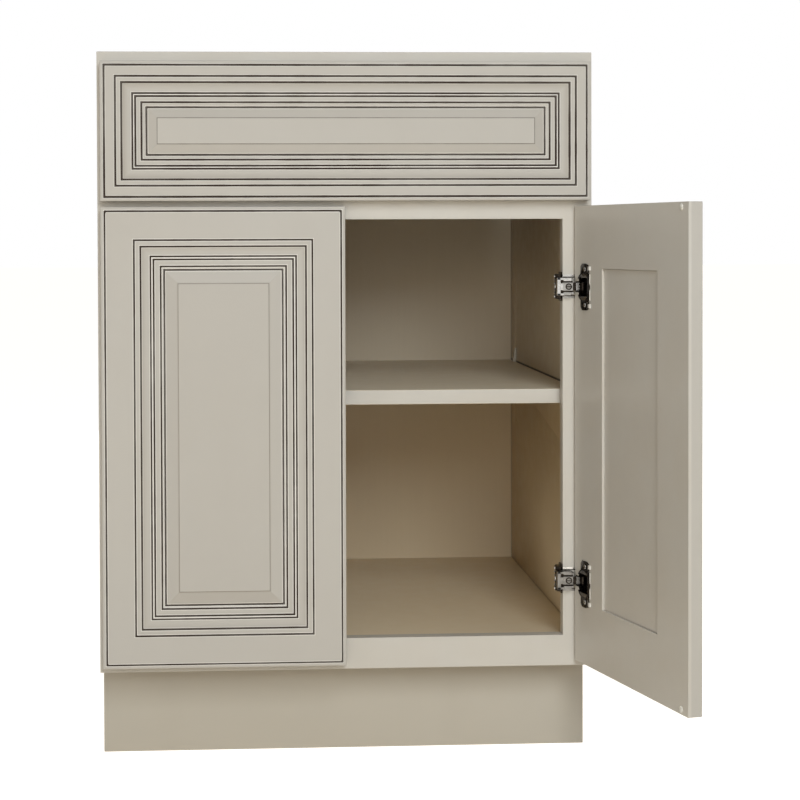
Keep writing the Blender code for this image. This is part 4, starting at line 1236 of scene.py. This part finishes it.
for door, side, level, z in HINGES:
    stem = f"{door}_{level}_hinge"
    cup = rounded(f"{stem}_cup", welded(f"{stem}_cup"), 0.25 * mm)
    # The cup's nearly black nickel paints the dark reflection of the cabinet's inside.
    hang(f"{stem}_cup_plated", cup, [dark_shade_nickel], door, "nickel_steel", f"{stem}_cup")
    pin = rounded(f"{stem}_pin", welded(f"{stem}_pin"), 0.2 * mm)
    hang(f"{stem}_pin_plated", pin, [nickel], door, "nickel_steel", f"{stem}_pin")
    shape = blocks(EAR_BLOCKS, at_cup(side, z))
    ears = rounded(f"{stem}_ears", plates(shape, EAR_PLATES, at_cup(side, z)), 0.1 * mm)
    hang(f"{stem}_ears_plated", ears, HINGE_TONES[level], door, "nickel_steel")
print(f"cups {CUP_X / mm:.1f} mm from the middle")

# %% [markdown]
# Clear moulded pieces: the shelf clips, and the bumpers that quieten the doors. A clip keeps its solid's
# form with rounded edges. A bumper is a soft dome. Half a squashed sphere could stand for it, but its foot
# would be open, so it is made of rings that rise and close in along a quarter circle, with both ends closed.

# %% Mould the clear plastic
DOME_RADIUS, DOME_RISE = 4.0 * mm, 1.4 * mm
DOME_STEPS, DOME_SIDES = 9, 32
UP = Vector((0, 0, 1))


def clear_plastic():
    """Milky clear plastic with a faint cloud."""
    finish = Finish("clear_plastic_moulding", IOR=1.49, Transmission_Weight=0.2)
    colour = finish.mix(finish.clouds(240.0), srgb(246, 242, 232), srgb(232, 228, 216))
    return finish.surface(colour, finish.clouds(500.0, 0.10, 0.22))


def dome(node, out):
    """A low dome in a bumper's place, which faces the way out."""
    low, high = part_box(node)
    foot = (low + high) / 2 - out * DOME_RISE / 2
    sideways = out.cross(UP)
    shape = bmesh.new()
    rings = []
    for step in range(DOME_STEPS):
        angle = math.pi / 2 * step / DOME_STEPS
        radius = DOME_RADIUS * math.cos(angle)
        top = foot + out * DOME_RISE * math.sin(angle)
        spots = [top + sideways * radius * x + UP * radius * z for x, z in around(DOME_SIDES)]
        rings.append([shape.verts.new(spot) for spot in spots])
    return smooth(node, capped(shape, rings), sharp=50)


clear = clear_plastic()
for word in ("left", "right"):
    for row in ("front", "back"):
        node = f"shelf_clip_{row}_{word}"
        clip = rounded(node, welded(node), 0.35 * mm)
        hang(f"{node}_moulded", clip, [clear], "carcass", "clear_plastic", node)
for door, side in SWINGS.items():
    out = opened.to_3x3() @ Vector((0, 1, 0)) if side > 0 else Vector((0, 1, 0))
    for level in HINGE_LEVELS:
        node = f"{door}_{level}_bumper"
        hang(f"{node}_dome", dome(node, out), [clear], door, "clear_plastic", node)
print("four clips and four bumpers")

# %% [markdown]
# The drawer box and the hang rails are birch plywood. Its faces show pale long grain, and its edges show the
# plies as thin brown and cream lines. Faces and edges could have a material each, but they would have to be
# sorted on every board. So one tree holds both: the plies are lines across the board's thickness, and they
# are hidden on the two faces that look that way. The slides beside the box are zinc plated.

# %% Saw the birch plywood
BIRCH, BIRCH_DARK = srgb(226, 204, 166), srgb(206, 178, 134)
PLY_PALE, PLY_BROWN = srgb(214, 186, 142), srgb(164, 128, 86)
PLY_PAIR = 3.1 * mm
GRAIN_FINE, GRAIN_LONG = 26.0, 1.6
GRAIN_DEPTH = 0.08 * mm


def plywood(name, along, across):
    """Birch ply with the grain along one axis and the plies stacked across another."""
    finish = Finish(name, IOR=1.46)
    stretch = [GRAIN_LONG if word == along else GRAIN_FINE for word in "XYZ"]
    grain = finish.clouds(4.0, high=0.75, detail=5.0, stretch=stretch)
    pores = finish.clouds(60.0, 0.0, 0.35, 0.6, 0.8, stretch=[part / 8 for part in stretch])
    face = finish.mix(grain * 0.7 + pores, BIRCH, BIRCH_DARK)
    stacked = finish.axis(across) * (math.tau / PLY_PAIR) + finish.noise(20.0) * 1.5
    wave = finish.sum("SINE", stacked)
    plies = finish.mix(finish.ramp(wave, -0.4, 0.4), PLY_PALE, PLY_BROWN)
    flat = finish.ramp(abs(finish.facing(across)), 0.45, 0.55)
    colour = finish.mix(flat, plies, face)
    return finish.surface(colour, finish.clouds(80.0, 0.40, 0.52), grain * 0.5 + pores, GRAIN_DEPTH)


ply_long = plywood("birch_ply_sides", "Y", "X")
ply_cross = plywood("birch_ply_ends", "X", "Y")
ply_flat = plywood("birch_ply_bottom", "X", "Z")
for word in ("left_side", "right_side"):
    board(f"drawer_box_{word}", ply_long, "birch_plywood", along="Y")
for word in ("front", "back"):
    board(f"drawer_box_{word}", ply_cross, "birch_plywood", along="X")
board("drawer_box_bottom", ply_flat, "birch_plywood", SAWN)
for word in ("top", "bottom"):
    board(f"hang_rail_{word}", ply_cross, "birch_plywood")
for word in ("left", "right"):
    for part in ("cabinet", "middle", "drawer"):
        board(f"drawer_slide_{word}_{part}_member", zinc, "zinc_steel", 0.25 * mm)
print("drawer box, hang rails and slides")

# %% [markdown]
# Screws hold the hinges, the hang rails and the drawer's front. They all have one low head with a crossed
# slot. Copies could be set one by one, but Geometry Nodes put a head on every point of a small mesh, which
# says where each goes, which way it looks and how large it is. The head is a low cone, cut by two long bars.
# The tree's inputs are the head's sizes and its finish. It ends in Realize Instances and Set Material, so
# that plain geometry comes out.

# %% Draw the screw head's tree
HEAD = {"Head Radius": 3.0 * mm, "Head Height": 0.9 * mm, "Slot Width": 0.8 * mm}
TOP_SHARE = 0.8
HEAD_SIDES = 24
BARS = (("X", "Y", (2.4, 1.0, 1.0)), ("Y", "X", (1.0, 2.4, 0.8)))
heads_group = bpy.data.node_groups.new("screw_heads", "GeometryNodeTree")
heads_group.interface.new_socket("Heads", in_out="OUTPUT", socket_type="NodeSocketGeometry")
heads_inputs = {}
for name, kind in (("Places", "Geometry"), *[(size, "Float") for size in HEAD], ("Finish", "Material")):
    socket = heads_group.interface.new_socket(name, in_out="INPUT", socket_type=f"NodeSocket{kind}")
    heads_inputs[name] = socket.identifier
heads = Tree(heads_group)
given = {name: heads.node("NodeGroupInput", out=name) for name in heads_inputs}
radius, height, slot = [given[size] for size in HEAD]
sizes = {"Vertices": HEAD_SIDES, "Radius Top": radius * TOP_SHARE, "Radius Bottom": radius, "Depth": height}
cone = heads.node("GeometryNodeMeshCone", None, sizes)
cut = heads.node("GeometryNodeMeshBoolean", {"operation": "DIFFERENCE"}, {0: cone})
for long, short, stretch in BARS:
    size = heads.node("ShaderNodeCombineXYZ", None, {long: radius, short: slot, "Z": height})
    bar = heads.node("GeometryNodeMeshCube", None, {"Size": size})
    lifted = heads.node("ShaderNodeCombineXYZ", None, {"Z": height})
    moves = {"Geometry": bar, "Translation": lifted, "Scale": stretch}
    heads.feed(cut.socket.node.inputs[1], heads.node("GeometryNodeTransform", None, moves))
NAMED = "GeometryNodeInputNamedAttribute"
aim = heads.node(NAMED, {"data_type": "FLOAT_VECTOR"}, {"Name": "aim"}, "Attribute")
size = heads.node(NAMED, {"data_type": "FLOAT"}, {"Name": "size"}, "Attribute")
turn = heads.node("FunctionNodeAlignRotationToVector", {"axis": "Z"}, {"Vector": aim})
points = heads.node("GeometryNodeMeshToPoints", None, {"Mesh": given["Places"]})
layout = {"Points": points, "Instance": cut, "Rotation": turn, "Scale": size}
copies = heads.node("GeometryNodeInstanceOnPoints", None, layout)
plain = heads.node("GeometryNodeRealizeInstances", None, {"Geometry": copies})
coated = heads.node("GeometryNodeSetMaterial", None, {"Geometry": plain, "Material": given["Finish"]})
heads.node("NodeGroupOutput", None, {0: coated})
print(f"{heads_group.name}: {len(heads_group.nodes)} nodes")

# %% [markdown]
# All the heads could share one mesh, but a door's screws have to move with the door, so each group is one
# piece on one body. A place is a point, the way the head looks, and its radius. The points carry the last
# two as attributes, which the tree reads and the finished mesh no longer needs.

# %% Set heads on points
def screws(name, body, places, finish=nickel):
    """Screw heads on one body."""
    mesh = bpy.data.meshes.new(name)
    mesh.from_pydata([point for point, _, _ in places], [], [])
    mesh.attributes.new("aim", "FLOAT_VECTOR", "POINT")
    mesh.attributes.new("size", "FLOAT", "POINT")
    for at, (_, aim, radius) in enumerate(places):
        mesh.attributes["aim"].data[at].vector = aim
        mesh.attributes["size"].data[at].value = radius / HEAD["Head Radius"]
    holder = bpy.data.objects.new(name, mesh)
    modifier = holder.modifiers.new("screw_heads", "NODES")
    modifier.node_group = heads_group
    for key, value in (*HEAD.items(), ("Finish", finish)):
        modifier[heads_inputs[key]] = value
    scene.collection.objects.link(holder)
    plain = plain_mesh(holder)
    for word in ("aim", "size"):
        if word in plain.attributes:
            plain.attributes.remove(plain.attributes[word])
    hang(name, plain, [finish], body, "nickel_steel")
    print(f"{name}: {len(places)} heads, {len(plain.polygons)} faces")


print("screws can be driven")

# %% [markdown]
# Each hinge has three screws in its frame plate, one in its cam and one in each ear of its cup. Four hold
# the drawer's front from inside the box, and four, driven from behind, hold each hang rail to the back
# panel. Their places could be typed in for the whole cabinet, but they come from the hinges' own functions
# and the solids' boxes, so a head always sits on its seat.

# %% Drive the screws
CAM_SCREW_OUT = 11.4 * mm
EAR_SCREW_OFF, DRAWER_SCREW_OFF, RAIL_SCREW_OFF = 0.95 * mm, 0.45 * mm, -0.1 * mm
CAM_SCREW, EAR_SCREW, DRAWER_SCREW, RAIL_SCREW = 3.2 * mm, 3.2 * mm, 3.6 * mm, 3.8 * mm
PLATE_SCREWS = [(-8.9, -8.0, -12.6, 2.1), (-8.9, -8.0, 12.6, 2.1), (-8.3, -7.0, 0.0, 2.6)]
DRAWER_SCREWS = [(x, z) for x in (-0.16, 0.16) for z in (-0.022, 0.022)]
RAIL_SCREWS = (-0.272, -0.09, 0.09, 0.272)
BACKWARDS = (0, 1, 0)
plate_places, cam_places, ear_places = [], [], {door: [] for door in SWINGS}
for door, side, level, z in HINGES:
    stile, cup = at_stile(side, z), at_cup(side, z)
    cam_places.append((stile(CAM_ACROSS, CAM_SCREW_OUT, 0.0), (0, -1, 0), CAM_SCREW))
    for row in PLATE_SCREWS:
        *spot, radius = [part * mm for part in row]
        plate_places.append((stile(*spot), (-side, 0, 0), radius))
    for up in (-EAR_UP, EAR_UP):
        look = cup(0, 1, 0) - cup(0, 0, 0)
        ear_places[door].append((cup(EAR_ACROSS * mm, EAR_SCREW_OFF, up * mm), look, EAR_SCREW))
box_low, box_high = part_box("drawer_box_front")
box_middle = (box_low.z + box_high.z) / 2
drawer_spots = [(x, box_high.y + DRAWER_SCREW_OFF, box_middle + z) for x, z in DRAWER_SCREWS]
rail_spots = []
for low, high in (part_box("hang_rail_top"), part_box("hang_rail_bottom")):
    rail_spots += [(x, high.y + RAIL_SCREW_OFF, (low.z + high.z) / 2) for x in RAIL_SCREWS]
screws("hinge_plate_screws", "carcass", plate_places)
screws("hinge_cam_screws", "carcass", cam_places, dull)
screws("drawer_front_screws", "drawer", [(spot, BACKWARDS, DRAWER_SCREW) for spot in drawer_spots])
screws("hang_rail_screws", "carcass", [(spot, BACKWARDS, RAIL_SCREW) for spot in rail_spots])
for body, places in ear_places.items():
    screws(f"{body}_cup_screws", body, places)

# %% [markdown]
# The studio is a pale floor in a white surround. Stronger lamps could make them white too, but they would
# bleach the cabinet. So the camera, the metal and the clear plastic see both as white, by the Light Path
# node, while the light that the surround casts on the cabinet stays low, so that the lamps model its shapes.
# The floor keeps the cabinet's soft shadow.

# %% Build the studio
SURROUND_LIGHT = 0.16
FLOOR_GLOW = 0.88
FLOOR_HALF = 40.0
PURE_WHITE = (1.0, 1.0, 1.0, 1.0)
FLOOR_TONE = (0.88, 0.78, 0.62, 1.0)
RAYS = ("Is Camera Ray", "Is Glossy Ray", "Is Transmission Ray")


def seen(tree):
    """1 where the camera, a shiny or a clear surface looks, and 0 for light that falls on things."""
    camera, shiny, clear = [tree.node("ShaderNodeLightPath", out=word) for word in RAYS]
    return tree.sum("MAXIMUM", camera, tree.sum("MAXIMUM", shiny, clear))


scene.view_settings.view_transform = "Standard"
scene.world = bpy.data.worlds.new("studio")
scene.world.use_nodes = True
surround = Tree(scene.world.node_tree)
background = surround.tree.nodes["Background"].inputs
surround.feed(background["Color"], PURE_WHITE)
surround.feed(background["Strength"], seen(surround) * (1.0 - SURROUND_LIGHT) + SURROUND_LIGHT)
pale = Finish("pale_floor", Roughness=0.9, Specular_IOR_Level=0.0, Emission_Color=PURE_WHITE)
pale.feed(pale.shader["Base Color"], FLOOR_TONE)
pale.feed(pale.shader["Emission Strength"], seen(pale) * FLOOR_GLOW)
floor_mesh = bpy.data.meshes.new("studio_floor")
floor_corners = [(x * FLOOR_HALF, y * FLOOR_HALF, 0) for x, y in ((-1, -1), (1, -1), (1, 1), (-1, 1))]
floor_mesh.from_pydata(floor_corners, [], [(0, 1, 2, 3)])
floor_mesh.materials.append(pale.material)
in_scene("studio_floor", floor_mesh)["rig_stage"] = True
print(f"floor {2 * FLOOR_HALF:.0f} m across")

# %% [markdown]
# Five soft boxes light it: a cool main light high in front, a warm low one that reaches the lower inside,
# one on each side, and one behind for the other views. One lamp would be simpler, but it would leave the
# inside and the back dark. Metal doesn't mirror the boxes.

# %% Light the studio
COOL, WARM, NEUTRAL = (0.89, 0.95, 1.0), (1.0, 0.95, 0.86), (1.0, 1.0, 1.0)
SOFTBOXES = {
    "front_light": ((0.42, -3.2, 1.95), (0.0, 0.0, 0.6), (1.2, 1.6), 72.0, COOL),
    "low_light": ((-0.7, -3.2, 0.7), (0.15, 0.0, 0.35), (1.8, 1.0), 13.0, WARM),
    "left_light": ((-3.0, -1.6, 1.2), (0.0, 0.0, 0.45), (2.6, 1.8), 13.0, NEUTRAL),
    "right_light": ((3.2, 1.4, 0.9), (0.0, 0.2, 0.45), (1.8, 1.6), 30.0, NEUTRAL),
    "back_light": ((-1.2, 3.6, 0.9), (0.0, 0.2, 0.45), (1.8, 1.6), 40.0, NEUTRAL),
}
for name, (place, aim, size, power, tint) in SOFTBOXES.items():
    lamp = bpy.data.lights.new(name, "AREA")
    lamp.shape = "RECTANGLE"
    lamp.size, lamp.size_y = size
    lamp.energy = power
    lamp.color = tint
    holder = in_scene(name, lamp)
    holder.location = place
    holder.rotation_euler = (Vector(aim) - Vector(place)).to_track_quat("-Z", "Y").to_euler()
    holder.visible_glossy = False
print(f"{len(SOFTBOXES)} soft boxes")

# %% [markdown]
# The camera stands where the photograph was taken from, 2.3 m in front of the face frame and a little left
# of its middle. It could be moved by hand until the picture fits, but its place, turn and lens were worked
# out from the photograph's straight edges, which is closer. The picture is square.

# %% Place the camera
PICTURE, FOCAL = 800, 1848.22
SHIFT = (0.07638, -0.15006)
STAND = Vector((-0.1369, FRAME_FRONT - 2.2727, 0.64766))
PAN, TILT, ROLL = -0.05602, -0.0227, 0.00358
lens = bpy.data.cameras.new("camera")
lens.sensor_width = 36.0
lens.lens = FOCAL / PICTURE * lens.sensor_width
lens.shift_x, lens.shift_y = SHIFT
lens.clip_end = 200.0
camera = in_scene("camera", lens)
look = Matrix.Rotation(PAN, 4, "Z") @ Matrix.Rotation(TILT, 4, "X") @ Matrix.Rotation(ROLL, 4, "Y")
camera.matrix_world = Matrix.Translation(STAND) @ look @ Matrix.Rotation(math.pi / 2, 4, "X")
scene.camera = camera
print(f"camera at {[round(x, 3) for x in camera.location]}, lens {lens.lens:.1f} mm")

# %% [markdown]
# Last, the dressed cabinet's box is measured. A render wouldn't show a millimetre of growth, so the box is
# kept as numbers.

# %% Measure the dressed box
low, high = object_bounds()
